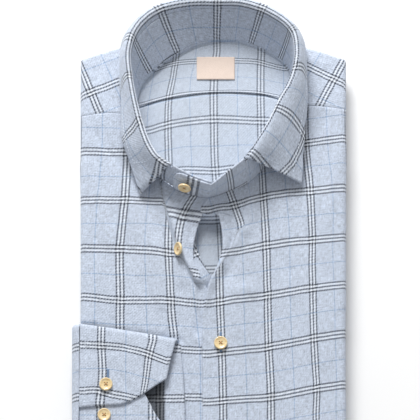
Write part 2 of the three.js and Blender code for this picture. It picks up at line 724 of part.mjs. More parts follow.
function leafLine(at) {
  const mid = vector(...readTable(leafStations, 'at', 'mid', at));
  const edge = vector(...readTable(leafStations, 'at', 'edge', at));
  const low = bandPoint(at, bandTopUnderLeaf + 0.022);
  const roll = bandPoint(at, 1);
  const out = new THREE.Vector3().subVectors(mid, roll).setZ(0);
  const reach = Math.min(4.2, out.length() * 0.5);
  out.normalize();
  const crest = roll.clone().addScaledVector(out, reach).add(vector(0, 0, 1.1));
  const lower = mid.clone().lerp(edge, 0.5).add(vector(out.x * 0.8, out.y * 0.8, 0.8));
  return new THREE.CatmullRomCurve3([low, roll, crest, mid, lower, edge], false, 'centripetal');
}
function collarLeaf() {
  const ats = steps(leafStart, leafEnd, 44);
  const face = surface(ats, [0, 0.1, 0.2, 0.3, 0.4, 0.5, 0.6, 0.8, 1], (at, t) => leafLine(at).getPoint(t));
  return wall(face.map((line) => [...line].reverse()), leafThickness);
}

// Cuff: one band from its overlapping end round the top fold, along the shirt and round the bottom fold.
const cuffTopRadius = (cuffOverlapTop - cuffUnderside) / 2;
const cuffBottomRadius = (cuffUnderlapTop - cuffUnderside) / 2;
function cuffPoint(place, f) {
  const topFold = readTable(cuffAcross, 'f', 'topFold', f);
  const bottomFold = readTable(cuffAcross, 'f', 'bottomFold', f);
  const overlapEnd = readTable(cuffAcross, 'f', 'overlapEnd', f);
  const underlapEnd = readTable(cuffAcross, 'f', 'underlapEnd', f);
  const x = mix(cuffLeftX, readTable(cuffWrist, 'place', 'x', place), f);
  const t = place % 1;
  const upperStart = topFold - cuffTopRadius;
  const lowerEnd = bottomFold + cuffBottomRadius;
  if (place < 1) {
    return vector(x, mix(overlapEnd, upperStart, t), cuffOverlapTop);
  }
  if (place < 2) {
    const turn = t * Math.PI;
    const height = cuffUnderside + cuffTopRadius * (1 + Math.cos(turn));
    return vector(x, upperStart + cuffTopRadius * Math.sin(turn), height);
  }
  if (place < 3) {
    return vector(x, mix(upperStart, lowerEnd, t), cuffUnderside);
  }
  if (place < 4) {
    const turn = t * Math.PI;
    const height = cuffUnderside + cuffBottomRadius * (1 - Math.cos(turn));
    return vector(x, lowerEnd - cuffBottomRadius * Math.sin(turn), height);
  }
  return vector(x, mix(lowerEnd, underlapEnd, place - 4), cuffUnderlapTop);
}
function cuff() {
  const roundTop = steps(1, 2, 5);
  const roundBottom = steps(3, 4, 5);
  const places = [0, 0.3, 0.6, ...roundTop, 2.25, 2.5, 2.75, ...roundBottom, 4.3, 4.65, 5];
  const face = surface(places, [0, 0.18, 0.35, 0.5, 0.6, 0.7, 0.78, 0.86, 0.93, 1], cuffPoint);
  return wall(face.map((line) => [...line].reverse()), cuffThickness);
}

// Sleeve end: a flattened tube out of the side of the stack, round its upper roll and up to the cuff.
function sleeve() {
  const bend = (stackHeight - middleHeight - turnInHeight) / 2;
  const centreHeight = stackHeight - bend;
  const inner = bend + 0.4;
  const path = [{ run: -8, angle: sleeveStartAngle }, { run: -4, angle: sleeveStartAngle }];
  steps(sleeveStartAngle, sleeveEndAngle, 9).forEach((angle) => path.push({ run: 0, angle }));
  const cuffSide = cuffLeftX - 0.35;
  const outerLoops = [];
  const innerLoops = [];
  const section = (place, inset) => {
    const angle = THREE.MathUtils.degToRad(place.angle);
    const rise = (place.angle - sleeveStartAngle) / (sleeveEndAngle - sleeveStartAngle);
    const thick = rise < 0.5
      ? mix(sleeveThickAtStack, sleeveThickHalfWay, rise * 2)
      : mix(sleeveThickHalfWay, sleeveThickAtCuff, rise * 2 - 1);
    const half = thick / 2 - inset;
    const top = mix(sleeveTopAtStack, sleeveTopAtCuff, rise) - inset;
    const bottom = mix(sleeveBottomAtStack, sleeveBottomAtCuff, rise) + inset;
    const loop = [];
    const add2 = (y, depth) => {
      const far = inner + depth;
      const foldX = -(halfWidth(y) - bend);
      const round = foldX - place.run - far * Math.cos(angle);
      const x = place.angle > 0 ? Math.min(round, cuffSide - inset) : round;
      loop.push(vector(x, y, centreHeight + far * Math.sin(angle)));
    };
    steps(0, 1, 4).forEach((t) => add2(mix(top - half, bottom + half, t), thick - inset));
    [0.25, 0.5, 0.75].forEach((t) => {
      const turn = t * Math.PI;
      add2(bottom + half - half * Math.sin(turn), thick / 2 + half * Math.cos(turn));
    });
    steps(1, 0, 4).forEach((t) => add2(mix(top - half, bottom + half, t), inset));
    [0.25, 0.5, 0.75].forEach((t) => {
      const turn = t * Math.PI;
      add2(top - half + half * Math.sin(turn), thick / 2 - half * Math.cos(turn));
    });
    return loop;
  };
  path.forEach((place) => {
    outerLoops.push(section(place, 0));
    innerLoops.push(section(place, sleeveWall));
  });
  const positions = [];
  const index = [];
  const count = outerLoops[0].length;
  [...outerLoops, ...innerLoops].forEach((loop) => loop.forEach((p) => positions.push(p.x, p.y, p.z)));
  const base = outerLoops.length * count;
  const strip = (a, b, flip) => {
    for (let j = 0; j < count; j += 1) {
      const next = (j + 1) % count;
      if (flip) {
        index.push(a + j, b + next, b + j, a + j, a + next, b + next);
      } else {
        index.push(a + j, b + j, b + next, a + j, b + next, a + next);
      }
    }
  };
  for (let i = 0; i < outerLoops.length - 1; i += 1) {
    strip(i * count, (i + 1) * count, true);
    strip(base + i * count, base + (i + 1) * count, false);
  }
  strip(0, base, false);
  strip((outerLoops.length - 1) * count, base + (outerLoops.length - 1) * count, true);
  const geometry = new THREE.BufferGeometry();
  geometry.setAttribute('position', new THREE.Float32BufferAttribute(positions, 3));
  geometry.setIndex(index);
  return geometry;
}

// Label on the inner yoke, made from the yoke's own surface.
function label() {
  const face = surface(steps(labelTop, labelBottom, 4), steps(labelLeft, labelRight, 5), (y, x) => {
    const height = Math.min(insideTop(x, y), stackTop(x, y) - 0.6);
    return vector(x, y, height + seamGap + labelThickness);
  });
  return wall(face, labelThickness);
}

// Buttons with four sewing holes.
function button(radius, centre, facing) {
  const circle = (x, y, size, count) => steps(0, 1, count).slice(1).map((t) => {
    const angle = t * Math.PI * 2;
    return new THREE.Vector2(x + Math.cos(angle) * size, y + Math.sin(angle) * size);
  });
  const shape = new THREE.Shape(circle(0, 0, radius - 0.5, 22));
  [45, 135, 225, 315].forEach((degrees) => {
    const angle = THREE.MathUtils.degToRad(degrees);
    const hole = circle(Math.cos(angle) * holeDistance, Math.sin(angle) * holeDistance, holeRadius, 8);
    shape.holes.push(new THREE.Path(hole));
  });
  const geometry = new THREE.ExtrudeGeometry(shape, {
    depth: buttonThickness - 1,
    bevelEnabled: true,
    bevelThickness: 0.5,
    bevelSize: 0.5,
    bevelSegments: 1,
  });
  geometry.translate(0, 0, 0.5);
  const direction = vector(...facing).normalize();
  geometry.applyQuaternion(new THREE.Quaternion().setFromUnitVectors(vector(0, 0, 1), direction));
  geometry.translate(...centre);
  return geometry;
}

const part = new THREE.Group();
part.name = 'folded_shirt';
function add(name, geometry, color, roughness) {
  const material = new THREE.MeshStandardMaterial({ color, roughness, metalness: 0 });
  material.name = `${name}_material`;
  const mesh = new THREE.Mesh(geometry, material);
  mesh.name = name;
  part.add(mesh);
}

const flannelBlue = 0xc9d3de;
const flannelInside = 0xbac9d8;
const hornCream = 0xe6cf9a;
add('front_right', front(-1), flannelBlue, 0.92);
add('front_left', front(1), flannelBlue, 0.92);
add('yoke', yoke(), flannelBlue, 0.92);
add('yoke_inside', yokeInside(), flannelInside, 0.92);
add('back_inside', backInside(), flannelInside, 0.92);
add('folded_core', foldedCore(), flannelInside, 0.95);
add('collar_band', collarBand(), 0x9fb2c6, 0.9);
add('collar_leaf', collarLeaf(), 0xd7dce6, 0.9);
add('cuff', cuff(), 0xd3d9e4, 0.9);
add('sleeve_end', sleeve(), flannelBlue, 0.92);
add('label', label(), 0xf5dcc4, 0.7);
const buttons = [
  { name: 'collar_button', radius: buttonRadius, centre: [-24.6, 15.2, 46], facing: [-0.25, -0.86, 0.42] },
  { name: 'second_button', radius: buttonRadius, centre: [-28.9, -35.8, 34.7], facing: [-0.7, -0.2, 0.7] },
  { name: 'third_button', radius: buttonRadius, centre: [6.2, -117.1, 29], facing: [0, 0, 1] },
  { name: 'fourth_button', radius: buttonRadius, centre: [8.2, -202, 28.4], facing: [0, 0, 1] },
  { name: 'cuff_button', radius: cuffButtonRadius, centre: [-90.4, -154.3, 36], facing: [0, 0, 1] },
  { name: 'cuff_second_button', radius: cuffButtonRadius, centre: [-91.7, -180, 33.7], facing: [0, 0, 1] },
];
buttons.forEach((one) => {
  add(one.name, button(one.radius, one.centre, one.facing), hornCream, 0.35);
});

// The origin is at the middle of the footprint, on the surface that the shirt lies on.
part.updateMatrixWorld(true);
const bounds = new THREE.Box3().setFromObject(part, true);
const footprint = bounds.getCenter(new THREE.Vector3());
part.position.set(-footprint.x, -footprint.y, -bounds.min.z);
part.updateMatrixWorld(true);

export default part;
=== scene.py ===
import math
import bpy
import numpy as np
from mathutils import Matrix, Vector


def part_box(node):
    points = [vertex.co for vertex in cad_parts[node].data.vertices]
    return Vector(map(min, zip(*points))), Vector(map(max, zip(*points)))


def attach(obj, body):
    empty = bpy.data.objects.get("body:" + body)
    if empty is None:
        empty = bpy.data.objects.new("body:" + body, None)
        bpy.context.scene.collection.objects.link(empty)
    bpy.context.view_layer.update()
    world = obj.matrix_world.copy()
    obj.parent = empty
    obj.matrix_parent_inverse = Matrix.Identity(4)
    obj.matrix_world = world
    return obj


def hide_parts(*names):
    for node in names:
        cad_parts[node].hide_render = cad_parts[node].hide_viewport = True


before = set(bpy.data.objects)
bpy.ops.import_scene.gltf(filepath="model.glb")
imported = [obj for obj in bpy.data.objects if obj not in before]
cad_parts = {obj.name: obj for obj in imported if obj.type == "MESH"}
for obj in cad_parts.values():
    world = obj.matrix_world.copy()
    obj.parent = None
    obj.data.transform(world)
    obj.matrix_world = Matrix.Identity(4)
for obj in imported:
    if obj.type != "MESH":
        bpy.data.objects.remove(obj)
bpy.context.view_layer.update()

# The same sizes as the solids, in millimetres: X across, Y from the bottom fold to the collar, Z up.
halfWidthAtMiddle = 114.6
halfWidthTaper = 0.0145
bottomFoldY = -230.0
shoulderAtCentre = 163.0
shoulderDrop = 23.5
stackHeight = 26.0
middleHeight = 13.0
clothThickness = 1.6
seamGap = 0.3
turnInHeight = 2.4
turnInLength = 8.0
neckRise = 8.0
shoulderFall = 5.0
insideHeight = 19.9
insideHeightUnderFronts = 22.0
bandThickness = 2.0
leafThickness = 2.2
cuffThickness = 2.0
checkRepeat = 43.2

labelLeft, labelRight, labelTop, labelBottom = -14.4, 18.6, 142.4, 121.8
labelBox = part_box("label")
shiftX = labelBox[0].x * 1000 - labelLeft
shiftY = labelBox[0].y * 1000 - labelBottom

neckStations = [
    (0.0, (-4.6, 11.3), (-2, 15.5, 57)),
    (0.05, (12, 17), (9.5, 24.6, 59)),
    (0.09, (29, 25), (25.9, 38, 60)),
    (0.15, (44, 43), (37, 53.5, 60.4)),
    (0.21, (54, 66), (46.5, 70, 60.6)),
    (0.28, (62, 92), (56.3, 91.4, 60.6)),
    (0.34, (67.5, 112), (66, 111, 60.4)),
    (0.39, (67.5, 127.5), (70, 133, 59.6)),
    (0.44, (58.6, 139.6), (66.3, 154, 58)),
    (0.5, (38, 152), (48, 170, 56)),
    (0.55, (21, 157), (25, 179.5, 53)),
    (0.6, (2, 157.6), (2.3, 181.1, 51)),
    (0.65, (-16, 153.5), (-23, 180, 52)),
    (0.7, (-33, 144.3), (-48, 172.5, 54.5)),
    (0.75, (-48, 133), (-65, 156, 57)),
    (0.79, (-61.5, 119), (-71.5, 136, 58)),
    (0.83, (-67, 102), (-70, 114, 58.4)),
    (0.87, (-66.5, 83), (-65.6, 90.3, 58.6)),
    (0.9, (-62, 64), (-60, 69, 58.8)),
    (0.93, (-55, 45), (-53, 50.5, 59)),
    (0.955, (-46, 29.5), (-43.5, 37, 59)),
    (0.97, (-35.6, 20.5), (-33, 28.5, 58.8)),
    (0.985, (-20.1, 14.6), (-17.4, 20.8, 58)),
    (1.0, (-4.6, 11.3), (-2, 15.5, 57)),
]
leafStations = [
    (0.09, (48.2, 33.1, 47.5), (76.3, 23.3, 33.5)),
    (0.15, (57.5, 50, 52), (77, 43, 36)),
    (0.21, (64, 68, 55), (79.6, 64, 38)),
    (0.28, (70.5, 91, 57), (81.5, 87, 39)),
    (0.34, (75.5, 111.5, 57), (81.6, 107, 36)),
    (0.39, (77.8, 136, 54), (82, 132, 29)),
    (0.44, (73, 158.5, 52.5), (79, 158, 20)),
    (0.5, (52, 177.5, 50.5), (59, 181, 12)),
    (0.55, (27, 187.5, 47.5), (30, 192, 8)),
    (0.6, (2, 189, 45.5), (2, 193.5, 6.5)),
    (0.65, (-25, 188, 46.5), (-28, 192, 8)),
    (0.7, (-52.5, 179.5, 49), (-60, 181, 12)),
    (0.75, (-71, 161, 51.5), (-79, 160, 20)),
    (0.79, (-78.5, 137.5, 53), (-82, 134, 27)),
    (0.83, (-77.8, 115, 53.5), (-82, 112, 32)),
    (0.87, (-74, 91, 53.5), (-80.5, 90, 36)),
    (0.9, (-69.5, 68, 52.5), (-79.5, 66, 37.5)),
    (0.93, (-64.5, 48, 50.5), (-75, 50.5, 37)),
    (0.955, (-55, 33, 48), (-69.5, 33, 34.5)),
    (0.965, (-49, 24.2, 45.5), (-63.2, 13.8, 32.5)),
]
leafStart = 0.09
leafEnd = 0.965
bandTopUnderLeaf = 0.84
bandOverEnd = -0.029

leftFrontEdge = [
    (11.3, -4.4), (8.5, -6), (3, -9), (-2, -10.5), (-4, -9),
    (-5.2, 0), (-6.2, 4), (-9, 5.3),
    (-19, 7.4), (-32.6, 8.2), (-42, 6.5), (-54, 1.4),
    (-67, -3.8), (-80, -6.3), (-90, -8.8), (-140, -8.9),
    (-217, -8.6),
]
rightFrontEdge = [
    (11.3, -5.4), (8.5, -5.8), (0.4, -7.6), (-11.6, -12.3),
    (-23, -15.7), (-34.4, -17.4), (-46.5, -16.6), (-53.3, -13.2),
    (-70.7, -4.6), (-84, 12), (-96, 23), (-140, 24),
    (-217, 24),
]
rightFrontFolds = [
    (-44, 22, -37, -8, 2.2, 3, 14),
    (-37, -8, -29, -34, 4.2, 2.6, 13),
    (-29, -34, -15, -62, 4.4, 2.6, 11),
]
leftFrontFolds = [
    (6, -2, 10, -34, 2.6, 10, 9),
    (10, -34, -2, -62, 2.6, 8, 12),
    (26, -10, 14, -44, -2.4, 7, 7),
]
yokeEnds = [
    (0.294, 91), (0.34, 88), (0.39, 83), (0.44, 72),
    (0.5, 48), (0.55, 26), (0.6, 2), (0.65, -21),
    (0.7, -42), (0.75, -61), (0.79, -77), (0.83, -85),
    (0.8615, -90),
]
yokeInsideSeam = [
    (-80, 91), (-63, 97), (-40.6, 104), (1.5, 109.8),
    (41.8, 108), (58, 104), (80, 98),
]
cuffLeftX = -112.4
cuffAcross = [
    (0, -101, -222, -173.4, -152),
    (0.35, -105, -223, -171.2, -152),
    (0.5, -107, -223.5, -170.2, -152),
    (0.7, -109.6, -224, -163.4, -160),
    (0.86, -112, -224.5, -155.5, -181),
    (1, -114, -225, -149, -195),
]
cuffWrist = [
    (0, -39.7), (0.5, -36.8), (1, -33), (2, -28.4),
    (2.3, -25.6), (2.7, -24.2), (3, -24.4), (4, -28),
    (5, -37),
]
cuffUnderside = 27.0
cuffUnderlapTop = 33.4
cuffOverlapTop = 35.7

# Where the check's bands run over each piece: line is the band's number, halves are the thin lines.
rightFrontAcross = [
    (-0.5, [(-100.3, 9.8), (-101.0, -79.0), (-100.5, -183.0)]),
    (0, [(-74.7, 41.4), (-76.2, 9.8), (-79.3, -21.5), (-80.5, -34.8), (-79.6, -96.5)]),
    (0.5, [(-57.9, -8.4), (-58.5, -44.0), (-57.0, -88.0)]),
    (1, [(-38.5, -21.8), (-37.1, -61.6), (-35.2, -96.7), (-33.5, -109.8)]),
    (1.5, [(-18.3, -57.2), (-13.1, -105.5)]),
]
rightFrontAlong = [
    (0, [(-108.7, 54.1), (-76.6, 53.2), (-54.9, 52.3)]),
    (0.5, [(-108.4, 31.4), (-54.8, 30.5)]),
    (1, [(-108.1, 9.8), (-54.6, 8.0)]),
    (1.5, [(-107.8, -10.8), (-54.5, -11.7)]),
    (2, [(-107.5, -33.0), (-54.3, -35.7), (-37.2, -38.4)]),
    (2.5, [(-107.2, -55.2), (-37.1, -57.8)]),
    (3, [(-113.8, -75.5), (-79.6, -79.0), (-8.9, -82.5)]),
    (3.5, [(-106.7, -98.2), (-11.4, -102.6)]),
    (4, [(-11.4, -122.9)]),
    (5, [(-106.7, -162.0), (-11.3, -163.4)]),
]
leftFrontAcross = [
    (0, [(5.5, -79.2), (6.8, -114.2), (8.1, -166.0)]),
    (0.5, [(25.3, -44.0), (28.3, -166.0)]),
    (1, [(42.6, 18.5), (45.1, -26.2), (46.3, -74.8), (46.8, -118.5), (48.5, -166.0)]),
    (1.5, [(62.4, 18.8), (65.4, -70.2), (68.4, -165.8)]),
    (2, [(80.4, 56.8), (83.4, 21.5), (85.1, -25.9), (85.0, -70.2), (85.4, -113.9), (87.4, -161.5)]),
    (2.5, [(98.2, 96.1), (99.4, 56.8), (102.5, 26.0), (102.3, -34.8), (103.4, -165.8)]),
]
leftFrontAlong = [
    (0, [(115.2, 66.3), (81.3, 61.7)]),
    (1, [(114.5, 21.5), (86.0, 18.2), (46.3, 12.7), (17.7, 3.3)]),
    (1.5, [(46.1, -8.6)]),
    (2, [(113.9, -22.9), (85.5, -25.7), (46.0, -31.1), (22.7, -36.4)]),
    (3, [(113.3, -64.9), (85.0, -68.4), (45.7, -75.1), (5.6, -81.2)]),
    (4, [(112.6, -107.8), (84.5, -112.5), (45.4, -119.9), (5.6, -125.2)]),
    (5, [(112.0, -152.0), (84.1, -156.4), (45.2, -163.6), (5.5, -166.7)]),
]
insideAcross = [
    (-1, [(-33.2, 138.0), (-35.5, 122.0), (-38.8, 104.8), (-39.5, 75.4), (-38.7, 48.1)]),
    (-0.5, [(-20.0, 121.5), (-19.9, 75.4)]),
    (0, [(3.3, 149.3), (0.6, 116.8), (0.6, 84.6), (1.4, 43.5), (5.7, -6.4)]),
    (0.5, [(21.2, 121.5), (21.1, 75.4)]),
    (1, [(41.9, 140.0), (41.6, 84.6)]),
]
backAlong = [
    (0, [(-54.8, 75.4), (-40.4, 80.0), (1.5, 85.5), (41.6, 83.7)]),
    (0.5, [(-43.8, 56.3), (1.5, 60.8), (31.9, 61.7)]),
    (1, [(-25.5, 39.0), (1.4, 38.1), (14.5, 39.9)]),
    (2, [(1.4, -6.4)]),
    (2.5, [(1.4, -28.7)]),
    (3, [(-11.5, -51.2)]),
]
yokeInsideAlong = [
    (0, [(-55.6, 128.9), (-32.8, 137.2), (1.5, 139.1), (39.3, 138.1), (58.6, 132.6)]),
    (0.5, [(-46.7, 119.6), (1.5, 122.8), (42.7, 121.9)]),
    (0.985, [(-63.2, 98.4), (-40.5, 104.8), (1.5, 110.4), (41.8, 109.0), (57.5, 105.7)]),
]
cuffLinesAcross = [
    (0, [(-95.0, -116.0), (-93.5, -140.2), (-95.3, -167.6)]),
    (0.5, [(-73.6, -109.0), (-73.0, -167.6)]),
    (1, [(-50.4, -113.4), (-54.1, -127.2), (-57.0, -150.5), (-59.2, -163.3)]),
]
cuffLinesAlong = [
    (0, [(-113.1, -119.9), (-95.0, -120.7), (-73.8, -122.9), (-53.5, -128.5), (-38.3, -134.6)]),
    (0.5, [(-110.8, -140.8), (-90.5, -140.8), (-73.7, -143.6), (-61.8, -147.0)]),
    (1, [(-112.5, -159.9), (-97.5, -159.1), (-86.1, -162.5), (-67.6, -165.9)]),
]
# Bands that cross the collar, by their place round the neck.
leafLines = [
    (0.05, 0.55), (0.108, 1), (0.25, 2), (0.36, 3),
    (0.44, 4), (0.515, 5), (0.597, 6), (0.695, 7),
    (0.77, 8), (0.833, 9), (0.897, 10), (0.957, 11),
    (1.0, 11.8),
]
bandLines = [
    (-0.045, -1.7), (-0.014, -1), (0.057, 0), (0.095, 0.5),
    (0.135, 1), *leafLines[2:],
]
rimLines = [
    (0.09, -6), (0.2, -5), (0.34, -3), (0.45, -2.2),
    (0.6, -2.2), (0.8, -2), (0.9, -1.5), (0.965, -0.5),
]


def mix(a, b, t):
    return a + (b - a) * t


def smooth(low, high, value):
    t = np.clip((np.asarray(value, float) - low) / (high - low), 0, 1)
    return t * t * (3 - 2 * t)


# A smooth line through one column of a table whose first column says where each row stands.
def readTable(table, column, value):
    knots = np.array([row[0] for row in table], float)
    data = np.array([row[column] for row in table], float)
    if knots[0] > knots[-1]:
        knots, data = knots[::-1], data[::-1]
    value = np.asarray(value, float)
    last = len(knots) - 1
    i = np.clip(np.searchsorted(knots, value, side="right") - 1, 0, last - 1)
    before = np.maximum(i - 1, 0)
    after = np.minimum(i + 2, last)
    span = knots[i + 1] - knots[i]
    t = np.clip((value - knots[i]) / span, 0, 1)
    slopeIn = span / (knots[i + 1] - knots[before])
    slopeOut = span / (knots[after] - knots[i])
    if data.ndim > 1:
        t, slopeIn, slopeOut = t[..., None], slopeIn[..., None], slopeOut[..., None]
    pullIn = (data[i + 1] - data[before]) * slopeIn
    pullOut = (data[after] - data[i]) * slopeOut
    t2, t3 = t * t, t * t * t
    value = (2 * t3 - 3 * t2 + 1) * data[i] + (t3 - 2 * t2 + t) * pullIn
    return value + (3 * t2 - 2 * t3) * data[i + 1] + (t3 - t2) * pullOut


def halfWidth(y):
    return halfWidthAtMiddle + halfWidthTaper * y


def shoulderY(x):
    return shoulderAtCentre - shoulderDrop * (x / 117) ** 2


# A fold or crease: its start, its end, its height, and its width at the left and at the right.
def foldHeight(fold, x, y):
    startX, startY, endX, endY, height, left, right = fold
    alongX, alongY = endX - startX, endY - startY
    t = np.clip(((x - startX) * alongX + (y - startY) * alongY) / (alongX ** 2 + alongY ** 2), 0, 1)
    awayX = x - startX - alongX * t
    awayY = y - startY - alongY * t
    width = np.where(awayX * alongY - awayY * alongX < 0, right, left)
    return height * (1 - smooth(0, 1, np.hypot(awayX, awayY) / width))


def foldsAt(folds, x, y):
    up = np.zeros_like(x * 1.0)
    down = np.zeros_like(x * 1.0)
    for fold in folds:
        height = foldHeight(fold, x, y)
        up = np.maximum(up, height)
        down = np.minimum(down, height)
    return up + down


def creasesAt(creases, x, y):
    total = np.zeros_like(x * 1.0)
    for crease in creases:
        total = total + foldHeight(crease, x, y)
    return total


def stackTop(x, y):
    acrossNeck = np.exp(-(((x + 3) / 54) ** 2))
    reach = np.where(np.asarray(y) < 6, 78, 66)
    alongNeck = np.exp(-(((y - 6) / reach) ** 2))
    return stackHeight + neckRise * acrossNeck * alongNeck - shoulderFall * smooth(95, 165, y)


def rightFrontTop(x, y):
    return stackTop(x, y) + foldsAt(rightFrontFolds, x, y)


def leftFrontTop(x, y):
    overlap = (clothThickness + seamGap) * (1 - smooth(26, 44, x)) * (1 - smooth(-72, -58, y))
    own = foldsAt(leftFrontFolds, x, y)
    under = foldsAt(rightFrontFolds, x, y) * (1 - smooth(-66, -60, y))
    return stackTop(x, y) + overlap + np.maximum(own, under)


def insideTop(x, y):
    underFronts = 1 - smooth(-50, 70, y)
    sides = 0.8 * smooth(20, 78, np.abs(x))
    return mix(insideHeight, insideHeightUnderFronts, underFronts) + sides * (1 - underFronts)


# A smooth map from a place on the panel to the cloth's own grain, through the bands of the check.
def grainMap(acrossLines, alongLines, low, high):
    def solve(lines):
        places, values = [], []
        for line, through in lines:
            for place in through:
                places.append(place)
                values.append(line * checkRepeat)
        places = np.array(places, float) / 100
        values = np.array(values, float)
        gaps = np.linalg.norm(places[:, None] - places[None], axis=2)
        kernel = np.where(gaps > 0, gaps ** 2 * np.log(gaps + 1e-12), 0)
        kernel += np.eye(len(places)) * 0.002
        flat = np.hstack([np.ones((len(places), 1)), places])
        system = np.block([[kernel, flat], [flat.T, np.zeros((3, 3))]])
        weights = np.linalg.solve(system, np.concatenate([values, np.zeros(3)]))
        return places, weights

    solved = [solve(acrossLines), solve(alongLines)]

    def grain(x, y):
        heldX, heldY = np.clip(x, low[0], high[0]), np.clip(y, low[1], high[1])
        at = np.stack([heldX.ravel(), heldY.ravel()], 1) / 100
        found = []
        for places, weights in solved:
            gaps = np.linalg.norm(at[:, None] - places[None], axis=2)
            kernel = np.where(gaps > 0, gaps ** 2 * np.log(gaps + 1e-12), 0)
            found.append(kernel @ weights[:-3] + weights[-3] + at @ weights[-2:])
        u = found[0].reshape(x.shape) + (x - heldX)
        v = found[1].reshape(x.shape) - (y - heldY)
        return np.stack([u, v], -1)

    return grain


# The cloth's grain where it runs straight, turned about a place where two bands cross.
def straightGrain(lines, x, y):
    angle = math.radians(lines["turn"])
    dx, dy = x - lines["origin"][0], y - lines["origin"][1]
    u = dx * math.cos(angle) + dy * math.sin(angle)
    return np.stack([u, dx * math.sin(angle) - dy * math.cos(angle)], -1)


def lengthAlong(rows):
    steps = np.linalg.norm(np.diff(rows, axis=1), axis=2)
    return np.concatenate([np.zeros((len(rows), 1)), np.cumsum(steps, axis=1)], 1)


# A thin closed shell on a face: a grid of points, its back one thickness behind, its border rounded.
def shell(name, face, grain, thickness, material, offset=0.0):
    rows, columns = face.shape[:2]
    down = np.gradient(face, axis=0)
    across = np.gradient(face, axis=1)
    normal = np.cross(down, across)
    normal /= np.maximum(np.linalg.norm(normal, axis=2, keepdims=True), 1e-9)
    top = face + normal * offset
    back = top - normal * thickness
    ids = np.arange(rows * columns).reshape(rows, columns)
    count = rows * columns
    border = np.concatenate([ids[0, :-1], ids[:-1, -1], ids[-1, :0:-1], ids[:0:-1, 0]])
    flatTop = top.reshape(-1, 3)
    flatBack = back.reshape(-1, 3)
    inward = np.zeros_like(flatTop)
    for side, step in ((ids[0], ids[1]), (ids[-1], ids[-2])):
        inward[side] += flatTop[side] - flatTop[step]
    for side, step in ((ids[:, 0], ids[:, 1]), (ids[:, -1], ids[:, -2])):
        inward[side] += flatTop[side] - flatTop[step]
    outward = inward[border]
    outward /= np.maximum(np.linalg.norm(outward, axis=1, keepdims=True), 1e-9)
    middle = (flatTop[border] + flatBack[border]) / 2 + outward * thickness * 0.32
    points = np.concatenate([flatTop, flatBack, middle])
    a, b, c, d = ids[:-1, :-1], ids[1:, :-1], ids[1:, 1:], ids[:-1, 1:]
    faces = [np.stack([a, b, c, d], -1).reshape(-1, 4)]
    faces.append(np.stack([a, d, c, b], -1).reshape(-1, 4) + count)
    rim = np.arange(len(border))
    following = np.roll(rim, -1)
    middleIds = 2 * count + rim
    faces.append(np.stack([border, border[following], middleIds[following], middleIds], -1))
    faces.append(np.stack([middleIds, middleIds[following], border[following] + count, border + count], -1))
    quads = np.concatenate(faces)
    flatGrain = grain.reshape(-1, 2)
    uv = np.concatenate([flatGrain, flatGrain, flatGrain[border]])
    return meshPiece(name, points, quads, uv, material)


def facingOut(points, quads):
    p = points[quads]
    volume = np.einsum("ij,ij->i", p[:, 0], np.cross(p[:, 1], p[:, 2])).sum()
    volume += np.einsum("ij,ij->i", p[:, 0], np.cross(p[:, 2], p[:, 3])).sum()
    return quads[:, ::-1] if volume < 0 else quads


def linked(name, data):
    made = bpy.data.objects.new(name, data)
    bpy.context.collection.objects.link(made)
    return made


def meshPiece(name, points, quads, uv, material):
    placed = points + np.array([shiftX, shiftY, 0])
    quads = facingOut(placed, quads)
    mesh = bpy.data.meshes.new(name)
    mesh.vertices.add(len(placed))
    mesh.vertices.foreach_set("co", (placed / 1000).ravel())
    mesh.loops.add(quads.size)
    mesh.loops.foreach_set("vertex_index", quads.ravel())
    mesh.polygons.add(len(quads))
    mesh.polygons.foreach_set("loop_start", np.arange(0, quads.size, 4))
    layer = mesh.uv_layers.new(name="cloth")
    layer.data.foreach_set("uv", (uv[quads.ravel()] / 1000).ravel())
    mesh.polygons.foreach_set("use_smooth", np.ones(len(quads), bool))
    mesh.update(calc_edges=True)
    mesh.validate()
    piece = linked(name, mesh)
    mesh.materials.append(material)
    return piece


def settle(piece, nodes):
    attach(piece, "root")
    if nodes:
        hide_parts(*nodes)


# Shader helpers
class Graph:
    def __init__(self, name):
        self.material = bpy.data.materials.new(name)
        self.material.use_nodes = True
        self.nodes = self.material.node_tree.nodes
        self.links = self.material.node_tree.links
        self.shader = self.nodes["Principled BSDF"]

    def put(self, socket, value):
        if isinstance(value, bpy.types.NodeSocket):
            self.links.new(value, socket)
        else:
            socket.default_value = value

    def feature(self, name, value):
        self.put(self.shader.inputs[name], value)

    def bump(self, height, strength, distance):
        node = self.nodes.new("ShaderNodeBump")
        node.inputs["Strength"].default_value = strength
        node.inputs["Distance"].default_value = distance
        self.links.new(height, node.inputs["Height"])
        self.feature("Normal", node.outputs[0])

    def math(self, operation, a, b=0.0, c=0.0):
        node = self.nodes.new("ShaderNodeMath")
        node.operation = operation
        for socket, value in zip(node.inputs, (a, b, c)):
            self.put(socket, value)
        return node.outputs[0]

    def blend(self, factor, a, b, kind="MIX"):
        node = self.nodes.new("ShaderNodeMix")
        node.data_type = "RGBA"
        node.blend_type = kind
        self.put(node.inputs["Factor"], factor)
        self.put(node.inputs["A"], a)
        self.put(node.inputs["B"], b)
        return node.outputs["Result"]

    def noise(self, vector, scale, detail=2.0, rough=0.5):
        node = self.nodes.new("ShaderNodeTexNoise")
        self.put(node.inputs["Vector"], vector)
        node.inputs["Scale"].default_value = scale
        node.inputs["Detail"].default_value = detail
        node.inputs["Roughness"].default_value = rough
        return node.outputs["Fac"]

    def combine(self, x, y, z=0.0):
        node = self.nodes.new("ShaderNodeCombineXYZ")
        for socket, value in zip(node.inputs, (x, y, z)):
            self.put(socket, value)
        return node.outputs[0]


